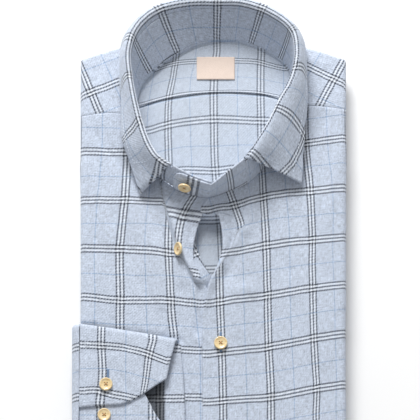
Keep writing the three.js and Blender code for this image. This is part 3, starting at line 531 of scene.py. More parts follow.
# Yarn-dyed twill: one set of bands in each direction, each thread brushed and flecked.
def flannelMaterial(name, look):
    g = Graph(name)
    uv = g.nodes.new("ShaderNodeUVMap")
    uv.uv_map = "cloth"
    split = g.nodes.new("ShaderNodeSeparateXYZ")
    g.links.new(uv.outputs[0], split.inputs[0])
    u, v = split.outputs[0], split.outputs[1]
    wander = g.math("MULTIPLY", g.math("SUBTRACT", g.noise(uv.outputs[0], 90.0, 1.0), 0.5), look["wander"])

    def bands(axis):
        moved = g.math("ADD", axis, wander)
        turn = g.math("ADD", g.math("DIVIDE", moved, look["repeat"]), 0.5)
        near = g.math("SUBTRACT", g.math("FRACT", turn), 0.5)
        away = g.math("ABSOLUTE", g.math("MULTIPLY", near, look["repeat"]))

        def stripe(centre, half):
            gap = g.math("ABSOLUTE", g.math("SUBTRACT", away, centre))
            edge = g.nodes.new("ShaderNodeMapRange")
            edge.interpolation_type = "SMOOTHSTEP"
            g.links.new(gap, edge.inputs["Value"])
            edge.inputs["From Min"].default_value = half + look["edge"]
            edge.inputs["From Max"].default_value = half - look["edge"]
            return edge.outputs["Result"]

        dark = g.math("MAXIMUM", stripe(0.0, look["darkHalf"]), stripe(look["darkAt"], look["darkHalf"]))
        white = stripe(look["whiteAt"], look["whiteHalf"])
        thin = stripe(look["repeat"] / 2, look["thinHalf"])
        return dark, white, thin

    twillTurn = g.math("DIVIDE", g.math("ADD", u, v), look["twill"])
    twillWave = g.math("SINE", g.math("MULTIPLY", twillTurn, 2 * math.pi))
    warpShows = g.math("MULTIPLY_ADD", twillWave, 0.5, 0.5)
    weftShows = g.math("SUBTRACT", 1.0, warpShows)
    colour = look["ground"]
    for axis, shows in ((u, warpShows), (v, weftShows)):
        dark, white, thin = bands(axis)
        cover = g.math("MULTIPLY_ADD", shows, look["coverSwing"], look["cover"])
        colour = g.blend(g.math("MULTIPLY", white, cover), colour, look["white"])
        colour = g.blend(g.math("MULTIPLY", thin, g.math("MULTIPLY", cover, 0.8)), colour, look["thin"])
        colour = g.blend(g.math("MULTIPLY", dark, cover), colour, look["dark"])
    warpPlace = g.combine(g.math("MULTIPLY", u, 4.0), g.math("MULTIPLY", v, 0.9))
    weftPlace = g.combine(g.math("MULTIPLY", u, 0.9), g.math("MULTIPLY", v, 4.0), 4.0)
    warpFleck, weftFleck = (g.noise(place, look["fleckScale"], 2.0, 0.6) for place in (warpPlace, weftPlace))
    fleck = g.math("ADD", warpFleck, weftFleck)
    cloud = g.noise(uv.outputs[0], 60.0, 3.0, 0.6)
    tone = g.math("MULTIPLY_ADD", g.math("SUBTRACT", fleck, 1.0), look["fleck"], 1.0)
    tone = g.math("ADD", tone, g.math("MULTIPLY", g.math("SUBTRACT", cloud, 0.5), look["cloud"]))
    tone = g.math("MULTIPLY_ADD", twillWave, look["twillTone"], tone)
    # Painted shade: where a piece carries the shade attribute read here, the cloth colour is darkened to
    # stand in for the shadow deep inside the cuff.
    paintedShade = g.nodes.new("ShaderNodeAttribute")
    paintedShade.attribute_name = "paintedShade"
    tone = g.math("MULTIPLY", tone, g.math("MULTIPLY_ADD", paintedShade.outputs["Fac"], -look["paintedShadeStrength"], 1.0))
    colour = g.blend(1.0, colour, g.combine(tone, tone, tone), "MULTIPLY")
    g.feature("Base Color", colour)
    g.feature("Roughness", 0.92)
    g.feature("Specular IOR Level", 0.18)
    g.feature("Sheen Weight", look["sheen"])
    g.feature("Sheen Roughness", 0.55)
    g.feature("Sheen Tint", (0.93, 0.96, 1.0, 1.0))
    height = g.math("ADD", g.math("MULTIPLY", twillWave, 0.35), g.math("MULTIPLY", fleck, 0.9))
    g.bump(height, look["bump"], 0.00025)
    return g.material


# The last entry sets how strongly the painted shade darkens the cloth.
flannelLook = {
    "repeat": checkRepeat / 1000, "darkHalf": 0.00072, "darkAt": 0.0031, "whiteAt": 0.00155,
    "whiteHalf": 0.00074, "thinHalf": 0.00044, "edge": 0.00013, "twill": 0.0026, "wander": 0.0006,
    "cover": 0.30, "coverSwing": 0.70,
    "ground": (0.515, 0.572, 0.675, 1.0), "white": (0.72, 0.765, 0.835, 1.0),
    "dark": (0.012, 0.016, 0.03, 1.0), "thin": (0.19, 0.31, 0.49, 1.0), "fleck": 0.85, "fleckScale": 240.0,
    "cloud": 0.17, "twillTone": 0.05, "sheen": 0.2, "bump": 0.55, "paintedShadeStrength": 0.8,
}
flannel = flannelMaterial("flannel_check", flannelLook)
print("materials made")


middleRadius = stackHeight - middleHeight
foldLineY = bottomFoldY + middleRadius
foldLength = middleRadius * math.pi
overlapLift = clothThickness + seamGap


def aroundBottom(x, along, height):
    lift = height - middleHeight
    turn = np.clip((foldLineY - along) / middleRadius, 0, math.pi)
    tail = np.maximum(0, foldLineY - along - foldLength)
    below = along < foldLineY
    y = np.where(below, foldLineY + tail - lift * np.sin(turn), along)
    z = np.where(below, middleHeight + lift * np.cos(turn), height)
    return np.stack(np.broadcast_arrays(x, y, z), -1)


def foldedUnderTop(side, x, along):
    turned = smooth(0, 14, foldLineY - along)
    if side > 0:
        return stackHeight + overlapLift * (1 - smooth(26, 44, x)) * (1 - turned)
    return stackHeight - overlapLift * smooth(-24, -10, x) * turned


rightFront = {
    "side": -1, "edge": rightFrontEdge, "seamSideY": 86.5, "bow": 3.0, "neckStart": 0.8655, "neckEnd": 1.0,
    "across": rightFrontAcross, "along": rightFrontAlong, "low": (-112, -175), "high": (2, 62),
    "hidden": {
        "line": [(30, -46), (22, -44), (-8, -37), (-34, -29), (-62, -15)],
        "cloth": [
            (32, 10, 0), (19.7, 17.8, -3), (-3.5, 30.5, -10),
            (-27.6, 34.3, -16), (-60, 36, -18),
        ],
        "crossing": (-2.6, -1.0), "fade": (60, 80),
    },
    "creases": [
        (-100, 70, -70, 26, -1.1, 9, 12),
        (-108, 40, -88, -24, 1.0, 12, 10),
        (-62, 60, -52, 20, -1.2, 7, 9),
        (-84, -4, -60, -70, -1.0, 10, 13),
        (-50, -30, -44, -84, 1.1, 8, 9),
        (-26, -70, -14, -104, -1.1, 7, 9),
        (-98, -48, -104, -96, 0.8, 9, 7),
        (-16, -120, -20, -190, -0.7, 8, 7),
        (-116, -102.5, -30, -115.5, -1.75, 4, 7.5),
        (-74, 28, -66, -20, 0.8, 8, 7),
        (-11, -66, -14, -108, -1.2, 5, 5),
    ],
    "ridges": [],
}
leftFront = {
    "side": 1, "edge": leftFrontEdge, "seamSideY": 93.0, "bow": 1.6, "neckStart": 0.288, "neckEnd": 0.0,
    "across": leftFrontAcross, "along": leftFrontAlong, "low": (-4, -175), "high": (112, 72),
    "hidden": {
        "line": [(-2, 60), (-8, 40), (-19, 22.9), (-34, 16), (-47, 7.4), (-60, -2)],
        "cloth": [
            (30, -8, 0), (17, -11.5, 0), (5.4, -15.2, 0),
            (-14.2, -21, 0), (-47, -22, 0),
        ],
        "crossing": (0.5, -1.0), "fade": (26, 42),
    },
    "creases": [
        (96, 84, 70, 30, -1.1, 12, 9),
        (110, 60, 98, -10, 0.9, 10, 8),
        (34, 24, 30, -18, 1.2, 8, 8),
        (44, 4, 60, -52, -1.1, 10, 12),
        (16, -62, 20, -108, 1.0, 7, 9),
        (34, -80, 40, -150, -0.9, 9, 11),
        (76, -60, 92, -132, 1.0, 12, 10),
        (62, -128, 56, -190, -0.8, 9, 12),
        (108, -90, 104, -160, -0.8, 7, 9),
        (52, 62, 66, 6, 0.8, 8, 10),
        (74, -6, 96, -58, -0.7, 9, 8),
    ],
    "ridges": [
        (24, -18, 16, -34, 1.6, 2.2, 9),
        (16, -34, 7.4, -47, 1.6, 2.2, 9),
        (7.4, -47, -2, -62, 1.6, 2.2, 9),
        (-2, -62, -9, -88, 1.5, 6, 6),
        (-9, -88, -9, -112, 1.0, 6, 6),
    ],
}


# Beside the largest fold the cloth jumps by what the fold hides.
def clothPastFold(hidden, x, along):
    lineX = readTable(hidden["line"], 1, along)
    past = smooth(hidden["crossing"][0], hidden["crossing"][1], x - lineX)
    if hidden["crossing"][0] > hidden["crossing"][1]:
        past = 1 - smooth(hidden["crossing"][1], hidden["crossing"][0], x - lineX)
    share = past * (1 - smooth(hidden["fade"][0], hidden["fade"][1], x))
    share = share * smooth(hidden["line"][-1][0] - 6, hidden["line"][-1][0], along)
    u = readTable(hidden["cloth"], 1, along)
    v = readTable(hidden["cloth"], 2, along)
    return np.stack([u * share, v * share], -1)


def frontPiece(name, look):
    side = look["side"]
    top = leftFrontTop if side > 0 else rightFrontTop
    grain = grainMap(look["across"], look["along"], look["low"], look["high"])
    neckT = np.linspace(0, 1, 44)
    neckAt = mix(look["neckStart"], look["neckEnd"], neckT)
    neckInner = readTable(neckStations, 1, neckAt)
    edgeY = np.concatenate([np.linspace(4, -96, 84), np.linspace(-98, foldLineY, 56)])
    edgeX = readTable(look["edge"], 1, edgeY)
    lowerX = look["edge"][-1][1]
    foldY = foldLineY - foldLength * np.linspace(0, 1, 19)[1:]
    tailT = np.linspace(0, 1, 26)[1:]
    innerX = np.concatenate([neckInner[:, 0], edgeX, np.full(18 + 25, lowerX)])
    innerY = np.concatenate([neckInner[:, 1], edgeY, foldY, np.full(25, foldY[-1])])
    outerY = np.concatenate([mix(look["seamSideY"], 6, neckT), edgeY, foldY, np.full(25, foldY[-1])])
    bow = np.concatenate([look["bow"] * (1 - neckT), np.zeros(len(innerX) - 44)])
    tail = np.concatenate([np.zeros(len(innerX) - 25), tailT])
    past = tail * (125 - foldLineY)
    width = halfWidth(np.maximum(outerY, foldLineY + past))
    sideHeight = stackTop(side * width, np.maximum(outerY, foldLineY))
    radius = (sideHeight - middleHeight - turnInHeight) / 2
    flatHalf = width - radius
    flat = np.linspace(0, 1, 84) ** 1.15
    turns = np.linspace(0, 1, 14)[1:]
    beyond = np.concatenate([np.zeros(84), turns, np.full(3, 1.0)])[None, :] * (radius * math.pi)[:, None]
    beyond[:, -3:] += np.array([2.6, 5.3, turnInLength])
    f = np.concatenate([flat, np.ones(16)])[None, :]
    x = mix(innerX[:, None], side * flatHalf[:, None], f)
    along = mix(innerY[:, None], outerY[:, None], f) + bow[:, None] * 4 * f * (1 - f)
    hem = foldLineY - foldLength - (125 - foldLineY) + 14 * (x / 117) ** 2
    along = np.where(tail[:, None] > 0, mix(foldY[-1], hem, tail[:, None]), along)
    height = np.where(along > foldLineY, top(x, along), foldedUnderTop(side, x, along))
    if side > 0:
        belowBand = smooth(-12, -5, along) * (1 - smooth(3, 8, along))
        height = height + overlapLift * belowBand * (1 - smooth(6, 16, x))
    edgeFade = smooth(0, 4, np.abs(x - innerX[:, None])) * smooth(foldLineY - 4, foldLineY + 12, along)
    height = height + creasesAt(look["creases"], x, along) * edgeFade + foldsAt(look["ridges"], x, along)
    turn = np.clip(beyond / np.maximum((height - middleHeight - turnInHeight) / 2, 1), 0, math.pi)
    ownRadius = (height - middleHeight - turnInHeight) / 2
    tucked = np.maximum(0, beyond - ownRadius * math.pi)
    sideX = side * (flatHalf[:, None] + ownRadius * np.sin(turn) - tucked)
    placedX = np.where(beyond > 0, sideX, x)
    placedZ = np.where(beyond > 0, height - ownRadius * (1 - np.cos(turn)), height)
    face = aroundBottom(placedX, along, placedZ)
    cloth = grain(x + side * beyond, along) + clothPastFold(look["hidden"], x, along)
    if side < 0:
        face, cloth = face[:, ::-1], cloth[:, ::-1]
    piece = shell(name + "_cloth", face, cloth, clothThickness - 0.1, flannel)
    settle(piece, [name])
    return piece


# The right front's turned edge, seen in the opening where the front rolls over.
facingLook = {
    "outer": [(-26, -17.2), (-37.6, -18.4), (-50, -15.6), (-60, -11), (-72, -5.2)],
    "inner": [(-26, -16.6), (-43.8, -10), (-58.6, -2), (-66, -2.4), (-72, -4.6)],
    "under": 1.9, "innerHeight": 25.6, "turn": 36.0, "origin": (-13.0, -36.0),
}


def facingPiece():
    look = facingLook
    y = np.linspace(-26, -71.8, 60)[:, None]
    t = np.linspace(0, 1, 14)[None]
    outer = readTable(look["outer"], 1, y)
    inner = readTable(look["inner"], 1, y)
    x = mix(outer - 1.2, inner, t)
    y = np.broadcast_to(y, x.shape)
    high = rightFrontTop(outer, y) - look["under"]
    z = mix(high, np.minimum(high - 0.4, look["innerHeight"]), t ** 1.4)
    face = np.stack([x, y, z], -1)
    cloth = straightGrain(look, x, y)
    piece = shell("front_right_facing", face, cloth, clothThickness - 0.4, flannel)
    settle(piece, [])
    return piece


yokeLook = {
    "leftLines": {"origin": (-106.8, 108.3), "turn": 22.5},
    "rightLines": {"origin": (105.5, 121.0), "turn": -27.5},
    "middle": {"origin": (0.0, 112.0), "turn": 0.0},
    "creases": [
        (-104, 128, -84, 96, -0.6, 8, 10),
        (100, 128, 88, 100, -0.6, 9, 8),
        (-70, 146, -92, 138, 0.5, 7, 6),
        (66, 148, 96, 136, 0.5, 6, 7),
        (-20, 168, 24, 170, -0.4, 5, 5),
    ],
}


def seamYRight(t):
    return mix(86.5, 85.2, t) + 3 * 4 * t * (1 - t)


def seamYLeft(t):
    return mix(95.6, 93, t) + 1.6 * 4 * t * (1 - t)


def yokePiece():
    def flatHalfAt(y):
        return halfWidth(y) - (stackTop(115, y) - middleHeight - turnInHeight) / 2

    turns = np.linspace(0, 0.84, 11)[1:] * math.pi
    startX, startY, endX, turned, sides = [], [], [], [], []

    def column(x, y, end, turn, side):
        startX.append(x)
        startY.append(y)
        endX.append(end)
        turned.append(turn)
        sides.append(side)

    for turn in turns[::-1]:
        column(-110, seamYRight(0) + seamGap, -110, turn, -1)
    for t in np.linspace(0, 0.96, 20):
        column(mix(-110, -66, t), seamYRight(t) + seamGap, mix(-110, -92, t), 0, 0 if t else -1)
    for at in np.linspace(0.8615, 0.294, 150):
        seam = readTable(neckStations, 1, at)
        column(seam[0], seam[1], readTable(yokeEnds, 1, at), 0, 0)
    for t in np.linspace(0.04, 1, 20):
        column(mix(62.5, 110, t), seamYLeft(t) + seamGap, mix(92, 110, t), 0, 1 if t == 1 else 0)
    for turn in turns:
        column(110, seamYLeft(1) + seamGap, 110, turn, 1)
    listed = (startX, startY, endX, turned, sides)
    startX, startY, endX, turned, sides = (np.array(values, float)[None] for values in listed)
    rowT = np.concatenate([np.linspace(0, 1, 40), np.ones(10)])[:, None]
    rowTurn = np.concatenate([np.zeros(40), turns])[:, None]
    isSide = sides != 0
    endX = np.where(isSide, sides * flatHalfAt(140), endX)
    endRadius = (stackTop(endX, shoulderY(endX) - 4) - middleHeight - turnInHeight) / 2
    y = mix(startY, shoulderY(endX) - endRadius, rowT)
    x = np.where(isSide, sides * flatHalfAt(y), mix(startX, endX, rowT))
    height = stackTop(x, y)
    height = height + creasesAt(yokeLook["creases"], x, y) * smooth(0, 0.15, rowT)
    radius = (height - middleHeight - turnInHeight) / 2
    turn = np.maximum(rowTurn, turned)
    heading = np.arctan2(rowTurn, turned)
    out = radius * np.sin(turn)
    px = x + sides * out * np.cos(heading)
    py = y + np.where(rowTurn > 0, out * np.sin(heading), 0)
    pz = height - radius * (1 - np.cos(turn))
    face = np.stack([px, py, pz], -1)
    gx = x + sides * radius * turned
    gy = y + radius * rowTurn

    middle = straightGrain(yokeLook["middle"], gx, gy)
    cloth = middle.copy()
    for lines, weight, place in (
        (yokeLook["leftLines"], 1 - smooth(-80, -20, gx), (-60, 130)),
        (yokeLook["rightLines"], smooth(20, 80, gx), (60, 135)),
    ):
        own = straightGrain(lines, gx, gy)
        near = np.unravel_index(np.argmin((gx - place[0]) ** 2 + (gy - place[1]) ** 2), gx.shape)
        shift = np.round((middle[near] - own[near]) / checkRepeat) * checkRepeat
        cloth = mix(cloth, own + shift, weight[..., None])
    piece = shell("yoke_cloth", face[::-1], cloth[::-1], clothThickness - 0.1, flannel)
    settle(piece, ["yoke"])
    return piece


insideLook = {
    "seamLip": 0.5, "seamDip": 0.9,
    "creases": [
        (-24, 78, -16, 30, -0.6, 7, 9),
        (24, 96, 30, 48, 0.6, 8, 9),
        (4, 60, -2, -20, -0.5, 8, 7),
        (-50, 96, -44, 60, 0.5, 7, 8),
        (48, 74, 40, 20, -0.5, 8, 7),
    ],
}


def yokeInsidePiece():
    grain = grainMap(insideAcross, yokeInsideAlong, (-64, 98), (62, 148))
    at = np.linspace(0.83, 0.335, 110)
    seam = readTable(neckStations, 1, at)
    middle = np.array([0, 122.0])
    length = np.linalg.norm(seam - middle, axis=1, keepdims=True)
    end = mix(middle, seam, (length - 1.2) / length)
    startX = np.linspace(-66, 66, 110)
    t = np.linspace(0, 1, 44)[:, None]
    x = mix(startX[None], end[:, 0][None], t)
    y = mix(readTable(yokeInsideSeam, 1, startX)[None] + seamGap, end[:, 1][None], t)
    z = np.minimum(insideTop(x, y), stackTop(x, y) - 0.6)
    z = z + insideLook["seamLip"] * (1 - smooth(0.5, 3.5, y - readTable(yokeInsideSeam, 1, startX)[None]))
    rise = np.linspace(0, 1, 9)[1:, None]
    edge = mix(middle, seam, (length - 0.4) / length)
    x = np.concatenate([x, mix(x[-1:], edge[:, 0][None], rise)])
    y = np.concatenate([y, mix(y[-1:], edge[:, 1][None], rise)])
    z = np.concatenate([z, mix(z[-1:], seamHeight(at)[None] - 0.2, smooth(0, 1, rise))])
    face = np.stack([x, y, z], -1)
    piece = shell("yoke_inside_cloth", face[::-1], grain(x, y)[::-1], clothThickness - 0.1, flannelWrongSide)
    settle(piece, ["yoke_inside"])
    return piece


def backInsidePiece():
    grain = grainMap(insideAcross, backAlong, (-64, -60), (62, 110))
    x = np.linspace(-76, 76, 96)[None]
    t = np.concatenate([np.linspace(0, 0.02, 12), np.linspace(0.025, 1, 104)])[:, None]
    seam = readTable(yokeInsideSeam, 1, x)
    y = mix(seam, -98, t)
    x = np.broadcast_to(x, y.shape)
    z = insideTop(x, y) + creasesAt(insideLook["creases"], x, y) * smooth(0, 0.06, t) - 0.15
    z = z - insideLook["seamDip"] * (1 - smooth(0.4, 3.0, seam - y))
    face = np.stack([x, y, z], -1)
    piece = shell("back_inside_cloth", face, grain(x, y), clothThickness - 0.2, flannelWrongSide)
    settle(piece, ["back_inside"])
    return piece


def neckPoint(at):
    at = np.asarray(at, float)
    place = np.where(at < 0, at + 1, at)
    return readTable(neckStations, 1, place), readTable(neckStations, 2, place)


def neckOutward(at):
    before = neckPoint(at - 0.006)[0]
    after = neckPoint(np.minimum(1, at + 0.006))[0]
    along = after - before
    along = along / np.linalg.norm(along, axis=-1, keepdims=True)
    return np.stack([along[..., 1], -along[..., 0]], -1)


def seamHeight(at):
    seam, roll = neckPoint(at)
    out = neckOutward(at)
    height = np.zeros_like(at)
    for far in (-1, 0.5, 2, 3.5):
        x = seam[..., 0] + out[..., 0] * far
        y = seam[..., 1] + out[..., 1] * far
        height = np.maximum(height, np.maximum(rightFrontTop(x, y), leftFrontTop(x, y)))
    away = ((roll[..., :2] - seam) * out).sum(-1)
    lean = np.maximum(0, away) / np.hypot(away, roll[..., 2] - height)
    return height + 0.65 + bandThickness * lean


def bandPoint(at, h):
    at, h = np.broadcast_arrays(np.asarray(at, float), np.asarray(h, float))
    seam, roll = neckPoint(at)
    out = neckOutward(at)
    shift = 1.2 * np.sin(math.pi * h) - (bandThickness + seamGap) * smooth(0.945, 0.968, at)
    x = mix(seam[..., 0], roll[..., 0], h) + out[..., 0] * shift
    y = mix(seam[..., 1], roll[..., 1], h) + out[..., 1] * shift
    return np.stack([x, y, mix(seamHeight(at), roll[..., 2], h)], -1)


bandLook = {"columns": 26, "step": 0.003, "frontShift": 11.0}


def collarBandPiece():
    at = np.concatenate([
        np.linspace(bandOverEnd, 0.08, 60), np.linspace(0.082, 0.0865, 8), np.linspace(0.087, 0.0898, 15),
        np.linspace(0.0905, 0.9645, 190), np.linspace(0.9652, 0.9685, 15), np.linspace(0.97, 1, 20),
    ])[:, None]
    h = np.linspace(0, 1, bandLook["columns"])[None]
    step = bandLook["step"]
    leaf = smooth(leafStart - step, leafStart - step / 4, at)
    leaf = leaf * (1 - smooth(leafEnd + step / 4, leafEnd + step, at))
    fromEnd = np.clip((at - bandOverEnd) / 0.008, 0, 1)
    rounding = 0.3 * (1 - np.sqrt(1 - (1 - fromEnd) ** 2))
    height = mix(rounding, mix(1 - rounding, bandTopUnderLeaf, leaf), h)
    face = bandPoint(at, height)
    seam, roll = neckPoint(at)
    length = np.linalg.norm(np.concatenate([roll[..., :2] - seam, roll[..., 2:] - 30], -1), axis=-1)
    u = readTable(bandLines, 1, at) * checkRepeat * np.ones_like(height)
    v = (1 - height) * length + bandLook["frontShift"] * (1 - leaf)
    cloth = np.stack([u, v], -1)
    piece = shell("collar_band_cloth", face[:, ::-1], cloth[:, ::-1], bandThickness - 0.1, flannel)
    settle(piece, ["collar_band"])
    return piece


# The leaf's section at each place is a smooth line through six points, read by its length.
def leafSection(at, t):
    mid = readTable(leafStations, 1, at)
    edge = readTable(leafStations, 2, at)
    low = bandPoint(at, bandTopUnderLeaf + 0.022)
    roll = bandPoint(at, np.ones_like(at))
    out = (mid - roll) * np.array([1, 1, 0])
    far = np.linalg.norm(out, axis=-1, keepdims=True)
    reach = np.minimum(4.2, far * 0.5)
    out = out / far
    crest = roll + out * reach + np.array([0, 0, 1.1])
    lower = mix(mid, edge, 0.5) + out * 0.8 + np.array([0, 0, 0.8])
    knots = np.stack([low, roll, crest, mid, lower, edge], 1)
    ends = [2 * knots[:, :1] - knots[:, 1:2], knots, 2 * knots[:, -1:] - knots[:, -2:-1]]
    knots = np.concatenate(ends, 1)
    place = t * 5
    index = np.minimum(place.astype(int), 4)
    part = (place - index)[None, :, None]
    p0, p1, p2, p3 = (knots[:, index + k] for k in range(4))

    def spacing(a, b):
        return np.maximum(np.linalg.norm(b - a, axis=-1, keepdims=True) ** 0.5, 1e-4)

    d0, d1, d2 = spacing(p0, p1), spacing(p1, p2), spacing(p2, p3)
    slopeIn = ((p1 - p0) / d0 - (p2 - p0) / (d0 + d1) + (p2 - p1) / d1) * d1
    slopeOut = ((p2 - p1) / d1 - (p3 - p1) / (d1 + d2) + (p3 - p2) / d2) * d1
    s2, s3 = part ** 2, part ** 3
    points = (2 * s3 - 3 * s2 + 1) * p1 + (s3 - 2 * s2 + part) * slopeIn
    return points + (3 * s2 - 2 * s3) * p2 + (s3 - s2) * slopeOut


leafLook = {
    "rows": 300, "columns": 52, "spread": 0.336,
    "waves": [
        (0.13, 0.018, 1.0), (0.24, 0.03, -1.0),
        (0.33, 0.02, 0.8), (0.47, 0.03, -0.8),
        (0.58, 0.025, 0.7), (0.68, 0.02, -0.9),
        (0.77, 0.022, 0.8), (0.85, 0.024, -0.9),
        (0.92, 0.016, 0.8),
    ],
}


def collarLeafFace():
    at = np.linspace(leafStart, leafEnd, leafLook["rows"])
    t = np.linspace(0, 1, leafLook["columns"])
    face = leafSection(at, t)
    outward = neckOutward(at)[:, None]
    for place, width, height in leafLook["waves"]:
        bump = height * np.exp(-(((at - place) / width) ** 2))[:, None]
        face[..., :2] += outward * (bump * smooth(0.3, 1, t)[None])[..., None]
    return at, t, face


def collarLeafPiece():
    at, t, face = collarLeafFace()
    run = lengthAlong(face)
    crest = run[np.arange(len(at)), np.argmax(face[..., 2], axis=1)][:, None]
    v = run - crest
    spread = (1 - smooth(0.20, 0.36, at)) - smooth(0.75, 0.88, at)
    u = (readTable(leafLines, 1, at) * checkRepeat)[:, None]
    u = u + leafLook["spread"] * spread[:, None] * np.maximum(v, 0)
    cloth = np.stack([u, v - readTable(rimLines, 1, at)[:, None]], -1)
    piece = shell("collar_leaf_cloth", face[:, ::-1], cloth[:, ::-1], leafThickness - 0.2, flannel)
    settle(piece, ["collar_leaf"])
    return piece, face


cuffTopRadius = (cuffOverlapTop - cuffUnderside) / 2
cuffBottomRadius = (cuffUnderlapTop - cuffUnderside) / 2
# The first entry gives where across the cuff the painted shade on its inner faces fades out.
cuffLook = {
    "paintedShadeFadesAt": (0.79, 0.83), "underlapLine": (1.5, -180.0), "innerLine": (-45.0, -165.0),
    "creases": [
        (-108, -128, -70, -122, -0.5, 6, 7),
        (-62, -120, -50, -150, 0.6, 6, 7),
        (-84, -140, -66, -164, -0.5, 6, 6),
        (-104, -150, -100, -168, 0.4, 5, 6),
    ],
}


def cuffPiece():
    places = np.concatenate([
        np.linspace(0, 1, 40)[:-1], np.linspace(1, 2, 14)[:-1], np.linspace(2, 3, 40)[:-1],
        np.linspace(3, 4, 14)[:-1], np.linspace(4, 5, 30),
    ])[:, None]
    f = np.linspace(0, 1, 60)[None]
    topFold, bottomFold, overlapEnd, underlapEnd = (
        readTable(cuffAcross, column, f) for column in (1, 2, 3, 4)
    )
    x = mix(cuffLeftX, readTable(cuffWrist, 1, places), f)
    upperStart = topFold - cuffTopRadius
    lowerEnd = bottomFold + cuffBottomRadius
    part = places % 1
    turn = part * math.pi
    parts = [places < 1, places < 2, places < 3, places < 4, places <= 5]
    y = np.select(parts, [
        mix(overlapEnd, upperStart, part), upperStart + cuffTopRadius * np.sin(turn),
        mix(upperStart, lowerEnd, part), lowerEnd - cuffBottomRadius * np.sin(turn),
        mix(lowerEnd, underlapEnd, places - 4),
    ])
    z = np.select(parts, [
        cuffOverlapTop, cuffUnderside + cuffTopRadius * (1 + np.cos(turn)), cuffUnderside,
        cuffUnderside + cuffBottomRadius * (1 - np.cos(turn)), cuffUnderlapTop,
    ])
    z = z + np.where(places < 1, creasesAt(cuffLook["creases"], x, y), 0)
    grain = grainMap(cuffLinesAcross, cuffLinesAlong, (-112, -170), (-40, -116))
    flatY = np.where(places < 1, y, upperStart + cuffTopRadius * turn)
    cloth = grain(x, flatY)
    line, lineY = cuffLook["underlapLine"]
    underV = line * checkRepeat + lineY - y
    innerX, innerY = cuffLook["innerLine"]
    innerU, innerV = x - innerX, innerY - y
    isInner = (places >= 2) & (places < 3.5)
    isUnder = places >= 3.5
    cloth[..., 0] = np.where(isInner, innerU, cloth[..., 0])
    cloth[..., 1] = np.where(isInner, innerV, np.where(isUnder, underV, cloth[..., 1]))
    face = np.stack([x, y, z], -1)
    piece = shell("cuff_cloth", face[:, ::-1], cloth[:, ::-1], cuffThickness - 0.1, flannel)
    # Painted shade: the inner layer away from the wrist edge is marked to be darkened, standing in for the
    # shadow inside the sleeve's opening.
    low, high = cuffLook["paintedShadeFadesAt"]
    paintedShade = np.where((places > 1.6) & (places < 3.6), 1 - smooth(low, high, f), 0)[:, ::-1].ravel()
    values = np.zeros(len(piece.data.vertices))
    values[:2 * paintedShade.size] = np.tile(paintedShade, 2)
    piece.data.attributes.new("paintedShade", "FLOAT", "POINT").data.foreach_set("value", values)
    settle(piece, ["cuff"])
    return piece, face


def labelPiece():
    y = np.linspace(labelTop, labelBottom, 24)[:, None]
    x = np.linspace(labelLeft, labelRight, 36)[None]
    z = np.minimum(insideTop(x, y), stackTop(x, y) - 0.6) + 0.25
    sag = 0.25 * np.sin((x - labelLeft) / (labelRight - labelLeft) * math.pi)
    x, y = np.broadcast_arrays(x, y)
    face = np.stack([x, y, z + 0.75 + sag], -1)
    cloth = np.stack([x, y], -1)
    piece = shell("label_cloth", face, cloth, 0.7, labelCloth)
    settle(piece, ["label"])
    return piece


sleeveLook = {
    "thickAtStack": 3.6, "thickHalfWay": 6.0, "thickAtCuff": 9.8, "topAtStack": -98.5, "topAtCuff": -101.0,
    "bottomAtStack": -213.0, "bottomAtCuff": -222.0, "wall": 1.2, "startAngle": -90.0, "endAngle": 68.0,
}


def sleevePiece():
    look = sleeveLook
    bend = (stackHeight - middleHeight - turnInHeight) / 2
    inner = bend + 0.4
    runs = np.concatenate([[-8, -4], np.zeros(28)])
    angles = np.concatenate([[-90, -90], np.linspace(look["startAngle"], look["endAngle"], 28)])

    def section(run, degrees, inset):
        rise = (degrees + 90) / 158
        thicknesses = [look["thickAtStack"], look["thickHalfWay"], look["thickAtCuff"]]
        thick = np.interp(rise, [0, 0.5, 1], thicknesses)
        half = thick / 2 - inset
        top = mix(look["topAtStack"], look["topAtCuff"], rise) - inset
        bottom = mix(look["bottomAtStack"], look["bottomAtCuff"], rise) + inset
        turns = np.linspace(0, 1, 12)[1:-1] * math.pi
        flatT = np.linspace(0, 1, 50)
        ys = np.concatenate([
            mix(top - half, bottom + half, flatT), bottom + half - half * np.sin(turns),
            mix(top - half, bottom + half, flatT[::-1]), top - half + half * np.sin(turns),
        ])
        depth = np.concatenate([
            np.full(50, thick - inset), thick / 2 + half * np.cos(turns),
            np.full(50, inset), thick / 2 - half * np.cos(turns),
        ])
        far = inner + depth
        angle = math.radians(degrees)
        x = -(halfWidth(ys) - bend) - run - far * math.cos(angle)
        if degrees > 0:
            x = np.minimum(x, cuffLeftX - 0.35 - inset)
        return np.stack([x, ys, stackHeight - bend + far * math.sin(angle)], -1)

    outer = np.array([section(r, a, 0) for r, a in zip(runs, angles)])
    lining = np.array([section(r, a, look["wall"]) for r, a in zip(runs, angles)])
    rows, columns = outer.shape[:2]
    ids = np.arange(rows * columns).reshape(rows, columns)
    after = np.roll(ids, -1, axis=1)
    base = rows * columns
    faces = [np.stack([ids[:-1], after[:-1], after[1:], ids[1:]], -1).reshape(-1, 4)]
    faces.append(np.stack([ids[:-1], ids[1:], after[1:], after[:-1]], -1).reshape(-1, 4) + base)
    faces.append(np.stack([ids[0], ids[0] + base, after[0] + base, after[0]], -1))
    faces.append(np.stack([ids[-1], after[-1], after[-1] + base, ids[-1] + base], -1))
    points = np.concatenate([outer.reshape(-1, 3), lining.reshape(-1, 3)])
    run = np.cumsum(np.concatenate([[0], np.linalg.norm(np.diff(outer[:, 25], axis=0), axis=1)]))
    u = np.broadcast_to(run[:, None] - 98, (rows, columns))
    v = -outer[..., 1] + 8
    grain = np.stack([u, v], -1).reshape(-1, 2)
    uv = np.concatenate([grain, grain])
    piece = meshPiece("sleeve_end_cloth", points, np.concatenate(faces), uv, flannel)
    settle(piece, ["sleeve_end"])
    return piece


